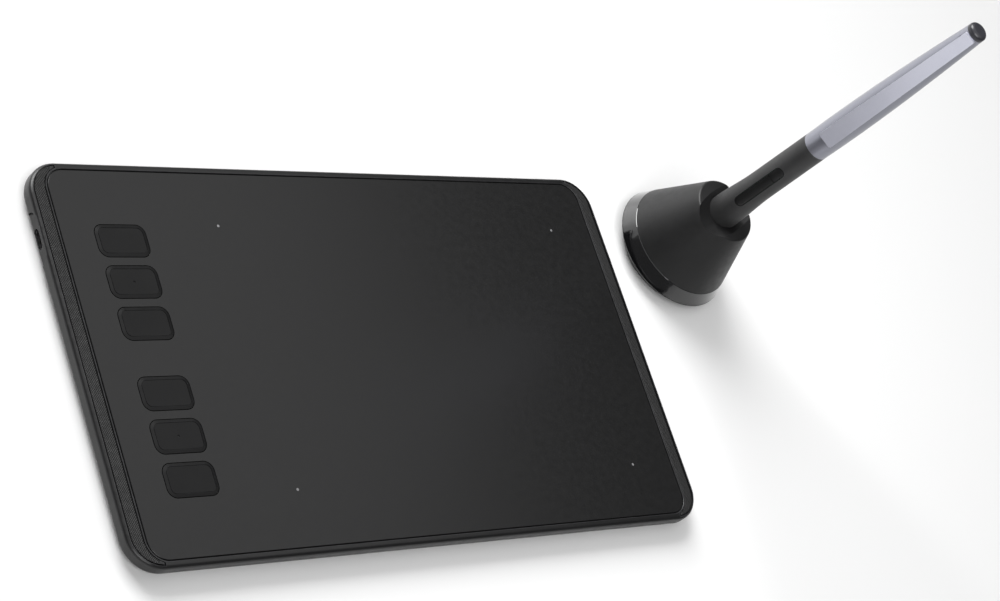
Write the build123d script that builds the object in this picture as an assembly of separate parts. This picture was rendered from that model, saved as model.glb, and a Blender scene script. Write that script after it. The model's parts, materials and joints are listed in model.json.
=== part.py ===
from build123d import *
from math import cos, pi, sin
import os

os.makedirs("parts", exist_ok=True)

# Overall size of the tablet
BODY_LENGTH = 260.0
BODY_WIDTH = 147.0
TOP_Z = 8.0
BODY_RADIUS = 12.5

# Edge of the tablet, seen in section
UNDERSIDE_Z = 0.7
EDGE_RADIUS = 1.4
TAPER_HEIGHT = 2.1
TAPER_IN = 4.6
TAPER_BLEND = 1.8
UNDERSIDE_RADIUS = 2.0
PARTING_Z = 1.9

# Border between the outline and the drawing surface
GROOVE = 0.4
LIP = 0.6
LIP_ROUND = 0.28
STRIP_WIDTH = 4.6
STRIP_GAP = 0.1
STRIP_GROOVE = 0.4
STRIP_RADIUS = 10.4
STRIP_RETURN = 4.2
STRIP_DEPTH = 0.8
STRIP_SUNK = 0.05
LONG_LAND = 0.5

# Drawing surface and the plate that carries it
PANEL_RADIUS = 7.2
PANEL_SUNK = 0.1
PANEL_THICKNESS = 0.75
PANEL_EDGE = 0.12
ADHESIVE = 0.1
ADHESIVE_INSET = 1.0
PLATE_THICKNESS = 1.3
WALL = 4.4

# Working area, with its marks
ACTIVE_TO_RIGHT = 20.1
ACTIVE_TO_LONG = 20.6
ACTIVE_TO_KEYS = 31.55
MARK_RADIUS = 0.5
MARK_DEPTH = 0.3
INLAY_GAP = 0.02

# Keys
KEY_LENGTH = 20.3
KEY_RADIUS = 3.4
KEY_TO_LEFT = 13.05
KEY_BETWEEN = 3.5
KEY_GROUP_BETWEEN = 13.6
KEY_END_INSET = 0.2
KEYS_PER_GROUP = 3
DIMPLED_KEY = 2
KEY_GAP = 0.3
KEY_PROUD = 0.3
KEY_BEVEL = 1.1
KEY_BEVEL_DROP = 0.25
KEY_LINE = 0.25
KEY_LINE_DEPTH = 0.16
KEY_DISH = 0.12
KEY_DIMPLE_RADIUS = 0.45
KEY_FLANGE = 0.9
KEY_FLANGE_THICKNESS = 0.7
KEY_FLANGE_GAP = 0.05
KEY_SKIN = 1.2
KEY_STEM_RADIUS = 1.6
KEY_STEM_GAP = 0.1
KEY_TRAVEL = 0.5

# Switches under the keys
SWITCH_SIZE = 5.2
SWITCH_HEIGHT = 0.75
SWITCH_FLOOR = 0.05
PLUNGER_RADIUS = 1.0
PLUNGER_GAP = 0.08
PLUNGER_SPARE = 0.03

# Boards and shield
SENSOR_MARGIN = 8.0
SENSOR_TAB = 4.0
SENSOR_THICKNESS = 0.8
SHIELD_THICKNESS = 0.3
BOARD_THICKNESS = 0.8
BOARD_TOP_Z = 3.6
BOARD_KEY_MARGIN = 3.0
BOARD_TO_SENSOR = 0.35
BOARD_CORNER = 1.5
CHIP_SIZE = 9.0
CHIP_HEIGHT = 0.9
CHIP_TO_KEY = 6.5
JUMPER_WIDTH = 14.0
JUMPER_THICKNESS = 0.15
JUMPER_LAP = 3.0
JUMPER_INSET = 0.8

# Each chip's size as a share of the largest, and its place as a share of the board's half width
CHIP_SHARES = [(1.0, 0.0), (0.65, 0.41), (0.55, -0.39), (0.38, 0.22)]

# Port in the left wall
PORT_TO_BACK = 27.2
PORT_Z = 3.7
PORT_WIDTH = 7.6
PORT_HEIGHT = 2.6
PORT_DEPTH = 5.6
PORT_SUNK = 0.7
PORT_CLEARANCE = 0.1
SOCKET_SKIN = 0.3
TONGUE_WIDTH = 4.4
TONGUE_THICKNESS = 0.6
TONGUE_SUNK = 1.0
TONGUE_BLOCK = 1.6
SCOOP_LENGTH = 19.4
SCOOP_HEIGHT = 7.4
SCOOP_RISE = 0.2
SCOOP_DEPTH = 0.9
EAR_MARGIN = 4.0
EAR_BACK = 0.8
NOTCH_MARGIN = 1.8

# Bottom cover, its bosses, ribs and screws
SEAM_CLEARANCE = 0.12
TONGUE_RIM = 1.0
TONGUE_RIM_HEIGHT = 1.0
RIM_GATE_DEPTH = 3.0
SCREW_TO_SIDE = 16.0
SCREW_TO_LONG = 15.5
SCREW_RADIUS = 0.95
SCREW_FIT = 0.02
SCREW_CLEARANCE = 0.2
SCREW_HEAD_RADIUS = 1.9
SCREW_HEAD_HEIGHT = 0.58
SCREW_BITE = 2.3
PILOT_SPARE = 1.0
COVER_BOSS_RADIUS = 4.0
COVER_BOSS_HEIGHT = 0.8
FRAME_BOSS_RADIUS = 2.5
BOARD_BOSS_RADIUS = 2.2
BOARD_BOSS_INSET = 7.2
BOARD_SCREW_BITE = 1.6
BOARD_SCREW_HEAD = 0.5
RIB = 0.8
RIB_GAP = 0.05
RIB_COLUMNS = 6
RIB_ROWS = 3
RIB_MARGIN = 6.0
FOOT_LENGTH = 16.0
FOOT_WIDTH = 7.0
FOOT_RECESS = 0.5
FOOT_GAP = 0.1
FOOT_BEVEL = 0.2
FOOT_SHIFT = 2.0

# Stand, measured on its own axis from the floor
STAND_GAP = 14.0
STAND_Y = 44.0
STAND_TURN = -64.4
PAD_RADIUS = 19.0
PAD_PROUD = 0.4
PAD_RECESS = 0.5
STAND_FOOT_RADIUS = 22.05
STAND_MAX_RADIUS = 26.55
STAND_MAX_Z = 5.2
BAND_TOP_Z = 11.4
BAND_EDGE = 0.2
COVER_GAP = 0.05
STAND_RIM_RADIUS = 13.65
STAND_RIM_Z = 38.2
STAND_CREST_Z = 38.9
STAND_CREST_RADIUS = 9.1
STAND_RIM_ROUND = 1.0
TROUGH_RADIUS = 15.2
TROUGH_DEPTH = 3.1
COVER_WALL = 2.1
COVER_ROOF = 2.3
NECK_RADIUS = 21.9
NECK_WALL = 1.8
NECK_RISE = 3.0
NECK_FIT = 0.08
STAND_FLOOR = 2.2
WEIGHT_HEIGHT = 2.0
WEIGHT_GAP = 0.3
HOLDER_HEIGHT = 4.6
HOLDER_GAP = 0.3
NIB_COUNT = 8
NIB_RING_RADIUS = 14.0
NIB_WELL = 4.0
NIB_FIT = 0.08
PULLER_RADIUS = 5.6
PULLER_WIDTH = 1.8
PULLER_HEIGHT = 1.4
PULLER_SLIT = 1.0
PULLER_GAP = 0.2

# Pen, measured up from the tip of its nib
PEN_TIP_Z = 14.0
PEN_LENGTH = 165.0
SEAT_GAP = 0.25
SOCKET_WALL = 1.6
SOCKET_FLOOR = 1.3
SOCKET_TIP_GAP = 1.0
SOCKET_NIB_GAP = 0.6
NIB_RADIUS = 0.9
NIB_TIP_ROUND = 0.63
NIB_LENGTH = 14.0
NIB_SHOWING = 2.0
NIB_BORE_GAP = 0.2
NIB_TRAVEL = 0.5
GRIP_LENGTH = 77.5
CONE_RADIUS = 2.2
GRIP_RADIUS = 7.0
GRIP_AT = 24.0
WAIST_RADIUS = 6.0
WAIST_AT = 46.0
JOIN_RADIUS = 5.9
PEN_BORE = 4.4
COIL_BORE = 2.9
COIL_BORE_START = 8.0
COIL_BORE_END = 23.5
CORE_RADIUS = 2.2
CORE_BORE = 1.05
CORE_LENGTH = 14.5
COIL_RADIUS = 2.8
COIL_GAP = 0.05
COIL_LENGTH = 12.0
ROD_RADIUS = 0.95
ROD_END_GAP = 0.7
SENSOR_RADIUS = 2.8
SENSOR_FIT = 0.08
SENSOR_LENGTH = 4.0
CARRIER_RADIUS = 4.1
CARRIER_HEAD = 7.0
CARRIER_GAP = 1.95
CARRIER_FLAT = 1.2
PEN_BOARD_WIDTH = 4.8
PEN_BOARD_THICKNESS = 0.8
PEN_BOARD_MARGIN = 1.0
BRIDGE_GAP = 0.1
BRIDGE_THICKNESS = 0.6
BRIDGE_HALF_WIDTH = 3.2
BRIDGE_LENGTH = 2.0
SPIGOT_RADIUS = 4.3
SPIGOT_LENGTH = 7.5
SPIGOT_BORE = 3.0
BARREL_MID_RADIUS = 5.8
BARREL_UPPER_RADIUS = 5.05
BARREL_TOP_RADIUS = 3.95
BARREL_WALL = 1.3
BARREL_SOLID = 20.0
CAP_HEIGHT = 2.4
CAP_ROUND = 1.5
CAP_SPIGOT_RADIUS = 1.5
CAP_SPIGOT_LENGTH = 5.0
CAP_FIT = 0.05

# Places along the pen: the nose's bulge, and the barrel's stations above the join
NOSE_SHARES = [(0.0, 0.0), (0.40, 0.27), (0.75, 0.55), (0.95, 0.82), (1.0, 1.0)]
NOSE_LEAN = 0.4
BARREL_MID_SHARE = 0.43
BARREL_UPPER_SHARE = 0.72

# Rocker button in the grip
SLOT_LOW = 34.8
SLOT_LENGTH = 27.3
SLOT_WIDTH = 4.4
ROCKER_GAP = 0.3
ROCKER_PROUD = 0.35
ROCKER_STEP = 6.9
ROCKER_STEP_DROP = 0.4
ROCKER_INNER = 4.2
ROCKER_RIDGE = 0.5
ROCKER_WEB = 2.6
ROCKER_RIDGE_GAP = 0.05
ROCKER_TAB_WIDTH = 2.4
ROCKER_TAB_REACH = 1.2
ROCKER_TAB_THICKNESS = 0.6
ROCKER_TAB_DROP = 1.2
ROCKER_TAB_BLOCK = 1.6
ROCKER_ANGLE = 2.5
PEN_SWITCH_OFFSET = 8.5
PEN_SWITCH_LENGTH = 3.0
PEN_SWITCH_WIDTH = 2.6
PEN_SWITCH_HEIGHT = 1.3

# Clip of the pen
CLIP_ABOVE_JOIN = 9.5
CLIP_THICKNESS = 1.2
CLIP_TOP_WIDTH = 4.9
CLIP_LOW_WIDTH = 7.0
CLIP_LOW_ROUND = 1.9
CLIP_EDGE = 0.4
CLIP_LIFT_LOW = 0.85
CLIP_LIFT_MID = 0.55
CLIP_LIFT_UPPER = 0.3
CLIP_TOP_SUNK = 0.5
CLIP_TOP_GAP = 0.3
CLIP_BUMP = 0.6
CLIP_BUMP_AT = 3.0
CLIP_POCKET_GAP = 0.3
CLIP_POCKET_LENGTH = 18.0
CLIP_POCKET_REACH = 10.0
CLIP_PIVOT_DOWN = 3.8
CLIP_PIVOT_RADIUS = 0.8
CLIP_PIVOT_FIT = 0.08
CLIP_ANGLE = 3.0

# How near a face or edge lies to the height it is found by
NEAR = 0.001

# Sizes and places worked out from the values above
SIDE_BORDER = GROOVE + LIP + STRIP_GAP + STRIP_WIDTH + STRIP_GROOVE + EDGE_RADIUS
LONG_BORDER = GROOVE + LIP + LONG_LAND + EDGE_RADIUS
PANEL_LENGTH = BODY_LENGTH - 2 * SIDE_BORDER
PANEL_WIDTH = BODY_WIDTH - 2 * LONG_BORDER
PANEL_TOP_Z = TOP_Z - PANEL_SUNK
PLATE_TOP_Z = PANEL_TOP_Z - PANEL_THICKNESS - ADHESIVE
PLATE_UNDER_Z = PLATE_TOP_Z - PLATE_THICKNESS
KEY_X = -PANEL_LENGTH / 2 + KEY_TO_LEFT + KEY_LENGTH / 2
KEYS_RIGHT = KEY_X + KEY_LENGTH / 2
ACTIVE_LENGTH = PANEL_LENGTH / 2 - ACTIVE_TO_RIGHT - ACTIVE_TO_KEYS - KEYS_RIGHT
ACTIVE_WIDTH = PANEL_WIDTH - 2 * ACTIVE_TO_LONG
ACTIVE_X = PANEL_LENGTH / 2 - ACTIVE_TO_RIGHT - ACTIVE_LENGTH / 2
KEY_GROUP_WIDTH = (ACTIVE_WIDTH - KEY_GROUP_BETWEEN) / 2 - KEY_END_INSET
KEY_PITCH = (KEY_GROUP_WIDTH + KEY_BETWEEN) / KEYS_PER_GROUP
KEY_WIDTH = KEY_PITCH - KEY_BETWEEN
KEY_YS = [
    side * (KEY_GROUP_BETWEEN / 2 + KEY_WIDTH / 2 + step * KEY_PITCH)
    for side, steps in ((1, range(KEYS_PER_GROUP - 1, -1, -1)), (-1, range(KEYS_PER_GROUP)))
    for step in steps
]
KEY_TOP_Z = PANEL_TOP_Z + KEY_PROUD
FLANGE_TOP_Z = PLATE_UNDER_Z - KEY_FLANGE_GAP
FLANGE_UNDER_Z = FLANGE_TOP_Z - KEY_FLANGE_THICKNESS
SWITCH_TOP_Z = BOARD_TOP_Z + SWITCH_HEIGHT
STEM_UNDER_Z = SWITCH_TOP_Z + KEY_TRAVEL + KEY_STEM_GAP
PLUNGER_UNDER_Z = BOARD_TOP_Z + SWITCH_FLOOR + KEY_TRAVEL + PLUNGER_SPARE
BOARD_UNDER_Z = BOARD_TOP_Z - BOARD_THICKNESS
SENSOR_UNDER_Z = PLATE_UNDER_Z - SENSOR_THICKNESS
SHIELD_UNDER_Z = SENSOR_UNDER_Z - SHIELD_THICKNESS
SENSOR_LEFT = ACTIVE_X - ACTIVE_LENGTH / 2 - SENSOR_MARGIN
SENSOR_RIGHT = ACTIVE_X + ACTIVE_LENGTH / 2 + SENSOR_MARGIN
SENSOR_WIDTH = ACTIVE_WIDTH + 2 * SENSOR_MARGIN
PORT_Y = BODY_WIDTH / 2 - PORT_TO_BACK
BOARD_LEFT = KEY_X - KEY_LENGTH / 2 - BOARD_KEY_MARGIN
BOARD_RIGHT = SENSOR_LEFT - SENSOR_TAB - BOARD_TO_SENSOR
BOARD_HALF_WIDTH = PORT_Y + PORT_WIDTH / 2 + EAR_MARGIN
BOARD_BOSS_X = BOARD_RIGHT - BOARD_BOSS_INSET
BOARD_BOSS_Y = BOARD_HALF_WIDTH - BOARD_BOSS_INSET
CAVITY_X = BODY_LENGTH / 2 - WALL
SCOOP_FACE_X = -BODY_LENGTH / 2 + SCOOP_DEPTH
SOCKET_FRONT_X = SCOOP_FACE_X + PORT_SUNK
SOCKET_BACK_X = SOCKET_FRONT_X + PORT_DEPTH
SCREW_X = BODY_LENGTH / 2 - SCREW_TO_SIDE
SCREW_Y = BODY_WIDTH / 2 - SCREW_TO_LONG
SCREW_POINTS = [(x, y) for x in (-SCREW_X, SCREW_X) for y in (-SCREW_Y, SCREW_Y)]
FOOT_Y = SCREW_Y - FOOT_SHIFT
FOOT_POINTS = [(x, y) for x in (-SCREW_X, SCREW_X) for y in (-FOOT_Y, FOOT_Y)]
FOOT_TOP_Z = UNDERSIDE_Z + FOOT_RECESS
HEAD_SEAT_Z = FOOT_TOP_Z + SCREW_HEAD_HEIGHT
COVER_BOSS_Z = PARTING_Z + COVER_BOSS_HEIGHT
BOARD_SCREW_POINTS = [
    (KEY_X, 0.0),
    (BOARD_BOSS_X, BOARD_BOSS_Y),
    (BOARD_BOSS_X, -BOARD_BOSS_Y),
]
STAND_X = BODY_LENGTH / 2 + STAND_GAP + STAND_MAX_RADIUS
SET_CENTRE_X = (STAND_X + STAND_MAX_RADIUS - BODY_LENGTH / 2) / 2
CONE_SLOPE = (STAND_MAX_RADIUS - STAND_RIM_RADIUS) / (STAND_RIM_Z - STAND_MAX_Z)
FLOOR_TOP_Z = PAD_PROUD + STAND_FLOOR
WEIGHT_TOP_Z = FLOOR_TOP_Z + WEIGHT_HEIGHT
HOLDER_TOP_Z = WEIGHT_TOP_Z + HOLDER_HEIGHT
NECK_BORE = NECK_RADIUS - NECK_WALL
WELL_FLOOR_Z = HOLDER_TOP_Z - NIB_WELL
TROUGH_FLOOR_Z = STAND_CREST_Z - TROUGH_DEPTH
CARRIER_LOW = COIL_BORE_END + SEAT_GAP
CARRIER_LENGTH = GRIP_LENGTH - SPIGOT_LENGTH - CARRIER_GAP - CARRIER_LOW
SENSOR_LOW = CARRIER_LOW + ROD_END_GAP
BOARD_FRONT_Y = -CARRIER_FLAT - PEN_BOARD_THICKNESS
BRIDGE_FRONT_Y = BOARD_FRONT_Y - BRIDGE_GAP - BRIDGE_THICKNESS
ROCKER_MID = SLOT_LOW + SLOT_LENGTH / 2
ROCKER_PIVOT_Y = BRIDGE_FRONT_Y - ROCKER_RIDGE_GAP - ROCKER_RIDGE
BARREL_TOP = PEN_LENGTH - CAP_HEIGHT
BARREL_MID_AT = GRIP_LENGTH + BARREL_MID_SHARE * (BARREL_TOP - GRIP_LENGTH)
BARREL_UPPER_AT = GRIP_LENGTH + BARREL_UPPER_SHARE * (BARREL_TOP - GRIP_LENGTH)
CLIP_LOW = GRIP_LENGTH + CLIP_ABOVE_JOIN
CLIP_TOP = BARREL_TOP - CLIP_TOP_GAP
CLIP_PIVOT_AT = CLIP_TOP - CLIP_PIVOT_DOWN

# Places of the tablet, the stand and the pen in the set
TABLET_PLACE = Pos(-SET_CENTRE_X, 0, 0)
STAND_PLACE = Pos(STAND_X - SET_CENTRE_X, STAND_Y, 0) * Rot(0, 0, STAND_TURN)
PEN_PLACE = STAND_PLACE * Pos(0, 0, PEN_TIP_Z)


def rounded_block(length, width, radius, low, high, x=0.0, y=0.0):
    """A block with upright rounded corners, centred on x and y."""
    return extrude(Pos(x, y, low) * RectangleRounded(length, width, radius), high - low)


def plain_block(x_low, x_high, y_low, y_high, low, high):
    """A block between the given corners."""
    centre = Pos((x_low + x_high) / 2, (y_low + y_high) / 2, (low + high) / 2)
    return centre * Box(x_high - x_low, y_high - y_low, high - low)


def post(radius, low, high, x=0.0, y=0.0):
    """An upright round post."""
    return Pos(x, y, (low + high) / 2) * Cylinder(radius, high - low)


def turned(points):
    """A solid turned about Z from radius and height pairs."""
    outline = Polyline([(r, 0, z) for r, z in points], close=True)
    return revolve(make_face(outline), Axis.Z)


def rounded_top(block, radius):
    """The block with the edges of its top face rounded."""
    return fillet(block.faces().sort_by(Axis.Z)[-1].edges(), radius)


def write(name, shape, place):
    """Places one piece in the set and writes its file."""
    export_step(place * shape, f"parts/{name}.step")


# Tablet housing
def body_form():
    """The outer form of the closed tablet, without its openings."""
    block = rounded_block(BODY_LENGTH, BODY_WIDTH, BODY_RADIUS, UNDERSIDE_Z, TOP_Z)
    under = block.faces().sort_by(Axis.Z)[0]
    block = chamfer(under.edges(), length=TAPER_IN, length2=TAPER_HEIGHT, reference=under)
    crease_z = UNDERSIDE_Z + TAPER_HEIGHT
    crease = [edge for edge in block.edges() if abs(edge.center().Z - crease_z) < NEAR]
    block = fillet(crease, TAPER_BLEND)
    block = rounded_top(block, EDGE_RADIUS)
    return fillet(block.faces().sort_by(Axis.Z)[0].edges(), UNDERSIDE_RADIUS)


def lip_outline(extra):
    """The line outside the lip, moved outwards by extra."""
    grow = 2 * (GROOVE + LIP + extra)
    radius = PANEL_RADIUS + GROOVE + LIP + extra
    return RectangleRounded(PANEL_LENGTH + grow, PANEL_WIDTH + grow, radius)


def strip_outline(extra):
    """The outer line of both trim strips, moved outwards by extra."""
    length = BODY_LENGTH - 2 * (EDGE_RADIUS + STRIP_GROOVE - extra)
    width = BODY_WIDTH - 2 * (EDGE_RADIUS - extra)
    return RectangleRounded(length, width, STRIP_RADIUS + extra)


def strip_bands(inner_gap, outer_gap, low, high):
    """Both crescent bands between the lip and the outline, cut off at their tips."""
    ring = strip_outline(outer_gap) - lip_outline(inner_gap)
    tip_x = PANEL_LENGTH / 2 - STRIP_RETURN - outer_gap
    between = Rectangle(2 * tip_x, BODY_WIDTH)
    return extrude(Pos(0, 0, low) * (ring - between), high - low)


def key_openings(low, high):
    """The six openings that the keys stand in."""
    length = KEY_LENGTH + 2 * KEY_GAP
    width = KEY_WIDTH + 2 * KEY_GAP
    radius = KEY_RADIUS + KEY_GAP
    return [rounded_block(length, width, radius, low, high, KEY_X, y) for y in KEY_YS]


def port_cut():
    """The scoop in the left wall and the port's way through it."""
    face = Plane(origin=(SCOOP_FACE_X, PORT_Y, PORT_Z), x_dir=(0, 1, 0), z_dir=(-1, 0, 0))
    scoop = Pos(0, SCOOP_RISE) * SlotOverall(SCOOP_LENGTH, SCOOP_HEIGHT)
    hole = SlotOverall(PORT_WIDTH, PORT_HEIGHT)
    return [extrude(face * scoop, BODY_RADIUS), extrude(face * hole, -(WALL + LIP))]


def top_frame():
    """Upper housing: walls, lip, panel pocket, strip pockets, port scoop and bosses."""
    frame = split(body_form(), Plane.XY.offset(PARTING_Z), keep=Keep.TOP)
    cavity_length = BODY_LENGTH - 2 * WALL
    cavity_width = BODY_WIDTH - 2 * WALL
    frame -= rounded_block(
        cavity_length, cavity_width, BODY_RADIUS - WALL, PARTING_Z, PLATE_UNDER_Z
    )
    pocket_length = PANEL_LENGTH + 2 * GROOVE
    pocket_width = PANEL_WIDTH + 2 * GROOVE
    frame -= rounded_block(
        pocket_length, pocket_width, PANEL_RADIUS + GROOVE, PLATE_TOP_Z, TOP_Z
    )
    frame -= strip_bands(0, STRIP_GROOVE, TOP_Z - STRIP_DEPTH, TOP_Z)
    frame -= key_openings(PLATE_UNDER_Z, PLATE_TOP_Z)
    frame -= port_cut()
    for x, y in SCREW_POINTS:
        frame += post(FRAME_BOSS_RADIUS, COVER_BOSS_Z, PLATE_UNDER_Z, x, y)
        pilot_top = HEAD_SEAT_Z + SCREW_BITE + PILOT_SPARE
        frame -= post(SCREW_RADIUS + SCREW_FIT, COVER_BOSS_Z, pilot_top, x, y)
    for x, y in BOARD_SCREW_POINTS:
        frame += post(BOARD_BOSS_RADIUS, BOARD_TOP_Z, PLATE_UNDER_Z, x, y)
        frame -= post(SCREW_RADIUS + SCREW_FIT, BOARD_TOP_Z, BOARD_TOP_Z + BOARD_SCREW_BITE, x, y)
    return soften_lip(frame)


def soften_lip(frame):
    """Rounds the lip's inner top edge, which catches the light."""
    half_x = PANEL_LENGTH / 2 + GROOVE
    half_y = PANEL_WIDTH / 2 + GROOVE
    rim = []
    for edge in frame.edges():
        box = edge.bounding_box()
        at_top = box.min.Z > TOP_Z - NEAR
        inside = max(abs(box.min.X), box.max.X) < half_x + NEAR
        inside = inside and max(abs(box.min.Y), box.max.Y) < half_y + NEAR
        if at_top and inside:
            rim.append(edge)
    return fillet(rim, LIP_ROUND)


def foot_outline(extra):
    """The outline of one foot, moved outwards by extra."""
    return Rot(0, 0, 90) * SlotOverall(FOOT_LENGTH + 2 * extra, FOOT_WIDTH + 2 * extra)


def cover_ribs():
    """The grid of ribs that carries the shield."""
    low_x = SENSOR_LEFT + RIB_MARGIN
    high_x = SENSOR_RIGHT - RIB_MARGIN
    half_y = SENSOR_WIDTH / 2 - RIB_MARGIN
    top = SHIELD_UNDER_Z - RIB_GAP
    ribs = []
    for column in range(RIB_COLUMNS):
        x = low_x + (high_x - low_x) * column / (RIB_COLUMNS - 1)
        ribs.append(plain_block(x - RIB / 2, x + RIB / 2, -half_y, half_y, PARTING_Z, top))
    for row in range(RIB_ROWS):
        y = half_y * (2 * row / (RIB_ROWS - 1) - 1)
        ribs.append(plain_block(low_x, high_x, y - RIB / 2, y + RIB / 2, PARTING_Z, top))
    return ribs


def bottom_cover():
    """Lower shell: tapered plate, locating rim, bosses, ribs and foot recesses."""
    cover = split(body_form(), Plane.XY.offset(PARTING_Z), keep=Keep.BOTTOM)
    outer = WALL + SEAM_CLEARANCE
    inner = outer + TONGUE_RIM
    rim_top = PARTING_Z + TONGUE_RIM_HEIGHT
    rim = rounded_block(
        BODY_LENGTH - 2 * outer, BODY_WIDTH - 2 * outer, BODY_RADIUS - outer, PARTING_Z, rim_top
    )
    rim -= rounded_block(
        BODY_LENGTH - 2 * inner, BODY_WIDTH - 2 * inner, BODY_RADIUS - inner, PARTING_Z, rim_top
    )
    gate = PORT_WIDTH / 2 + EAR_MARGIN + NOTCH_MARGIN
    gate_x = -CAVITY_X + RIM_GATE_DEPTH
    rim -= plain_block(-CAVITY_X, gate_x, PORT_Y - gate, PORT_Y + gate, PARTING_Z, rim_top)
    cover += rim
    cover += cover_ribs()
    for x, y in SCREW_POINTS:
        cover += post(COVER_BOSS_RADIUS, PARTING_Z, COVER_BOSS_Z, x, y)
    for x, y in FOOT_POINTS:
        cover -= extrude(Pos(x, y, UNDERSIDE_Z) * foot_outline(FOOT_GAP), FOOT_RECESS)
    for x, y in SCREW_POINTS:
        cover -= post(SCREW_HEAD_RADIUS + SCREW_CLEARANCE, FOOT_TOP_Z, HEAD_SEAT_Z, x, y)
        cover -= post(SCREW_RADIUS + SCREW_CLEARANCE, HEAD_SEAT_Z, COVER_BOSS_Z, x, y)
    return cover


def rubber_feet():
    """Four feet that fill the recesses and stand proud of them."""
    return Compound([
        chamfer(
            extrude(Pos(x, y, 0) * foot_outline(0), FOOT_TOP_Z).faces().sort_by(Axis.Z)[0].edges(),
            FOOT_BEVEL,
        )
        for x, y in FOOT_POINTS
    ])


def cover_screws():
    """Four screws up through the cover into the frame."""
    return Compound([
        post(SCREW_HEAD_RADIUS, FOOT_TOP_Z, HEAD_SEAT_Z, x, y)
        + post(SCREW_RADIUS, HEAD_SEAT_Z, HEAD_SEAT_Z + SCREW_BITE, x, y)
        for x, y in SCREW_POINTS
    ])


# Drawing surface and trim
def mark_points():
    """The corners of the working area."""
    return [
        (ACTIVE_X + side * ACTIVE_LENGTH / 2, end * ACTIVE_WIDTH / 2)
        for side in (-1, 1)
        for end in (-1, 1)
    ]


def drawing_surface():
    """Matt sheet with openings for the keys and the four marks."""
    low = PANEL_TOP_Z - PANEL_THICKNESS
    sheet = rounded_block(PANEL_LENGTH, PANEL_WIDTH, PANEL_RADIUS, low, PANEL_TOP_Z)
    sheet = chamfer(sheet.faces().sort_by(Axis.Z)[-1].edges(), PANEL_EDGE)
    sheet -= key_openings(low, PANEL_TOP_Z)
    for x, y in mark_points():
        sheet -= post(MARK_RADIUS + INLAY_GAP, PANEL_TOP_Z - MARK_DEPTH, PANEL_TOP_Z, x, y)
    return sheet


def corner_marks():
    """Four pale discs let into the sheet."""
    low = PANEL_TOP_Z - MARK_DEPTH
    return Compound([post(MARK_RADIUS, low, PANEL_TOP_Z, x, y) for x, y in mark_points()])


def surface_adhesive():
    """Film between the sheet and the plate."""
    length = PANEL_LENGTH - 2 * ADHESIVE_INSET
    width = PANEL_WIDTH - 2 * ADHESIVE_INSET
    radius = PANEL_RADIUS - ADHESIVE_INSET
    film = rounded_block(length, width, radius, PLATE_TOP_Z, PLATE_TOP_Z + ADHESIVE)
    return film - key_openings(PLATE_TOP_Z, PLATE_TOP_Z + ADHESIVE)


def trim_strip(side):
    """Textured insert on one short side."""
    bands = strip_bands(STRIP_GAP, 0, TOP_Z - STRIP_DEPTH, TOP_Z - STRIP_SUNK)
    return bands.solids().sort_by(Axis.X)[side]


# Keys and switches
def key_cap(dimpled):
    """Hollow key with a bevelled ring, a fine line, a dished face and a retaining flange."""
    cap = rounded_block(KEY_LENGTH, KEY_WIDTH, KEY_RADIUS, FLANGE_UNDER_Z, KEY_TOP_Z)
    top = cap.faces().sort_by(Axis.Z)[-1]
    cap = chamfer(top.edges(), length=KEY_BEVEL, length2=KEY_BEVEL_DROP, reference=top)
    flat_length = KEY_LENGTH - 2 * KEY_BEVEL
    flat_width = KEY_WIDTH - 2 * KEY_BEVEL
    line = RectangleRounded(flat_length, flat_width, KEY_RADIUS - KEY_BEVEL)
    face = RectangleRounded(
        flat_length - 2 * KEY_LINE, flat_width - 2 * KEY_LINE, KEY_RADIUS - KEY_BEVEL - KEY_LINE
    )
    cap -= extrude(Pos(0, 0, KEY_TOP_Z - KEY_LINE_DEPTH) * (line - face), KEY_LINE_DEPTH)
    reach = flat_length / 2
    ball_radius = (reach**2 + KEY_DISH**2) / (2 * KEY_DISH)
    ball = Pos(0, 0, KEY_TOP_Z - KEY_DISH + ball_radius) * Sphere(ball_radius)
    cap -= extrude(Pos(0, 0, KEY_TOP_Z - KEY_DISH) * face, KEY_DISH) & ball
    if dimpled:
        cap -= Pos(0, 0, KEY_TOP_Z - KEY_DISH) * Sphere(KEY_DIMPLE_RADIUS)
    cap += rounded_block(
        KEY_LENGTH + 2 * KEY_FLANGE,
        KEY_WIDTH + 2 * KEY_FLANGE,
        KEY_RADIUS + KEY_FLANGE,
        FLANGE_UNDER_Z,
        FLANGE_TOP_Z,
    )
    cap -= rounded_block(
        KEY_LENGTH - 2 * KEY_SKIN,
        KEY_WIDTH - 2 * KEY_SKIN,
        KEY_RADIUS - KEY_SKIN,
        FLANGE_UNDER_Z,
        KEY_TOP_Z - KEY_SKIN,
    )
    return cap + post(KEY_STEM_RADIUS, STEM_UNDER_Z, KEY_TOP_Z - KEY_SKIN)


def switch_cases():
    """The cases of six flat switches on the control board."""
    case = plain_block(
        -SWITCH_SIZE / 2, SWITCH_SIZE / 2, -SWITCH_SIZE / 2, SWITCH_SIZE / 2, BOARD_TOP_Z, SWITCH_TOP_Z
    )
    case -= post(PLUNGER_RADIUS + PLUNGER_GAP, BOARD_TOP_Z + SWITCH_FLOOR, SWITCH_TOP_Z)
    return Compound([Pos(KEY_X, y, 0) * case for y in KEY_YS])


def plunger():
    """The moving button of one switch, under its key's stem."""
    return post(PLUNGER_RADIUS, PLUNGER_UNDER_Z, STEM_UNDER_Z)


# Boards inside the tablet
def sensor_board():
    """Board with the aerial grid, with a tab for the flat lead."""
    left = SENSOR_LEFT - SENSOR_TAB
    half = SENSOR_WIDTH / 2
    return plain_block(left, SENSOR_RIGHT, -half, half, SENSOR_UNDER_Z, PLATE_UNDER_Z)


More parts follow.
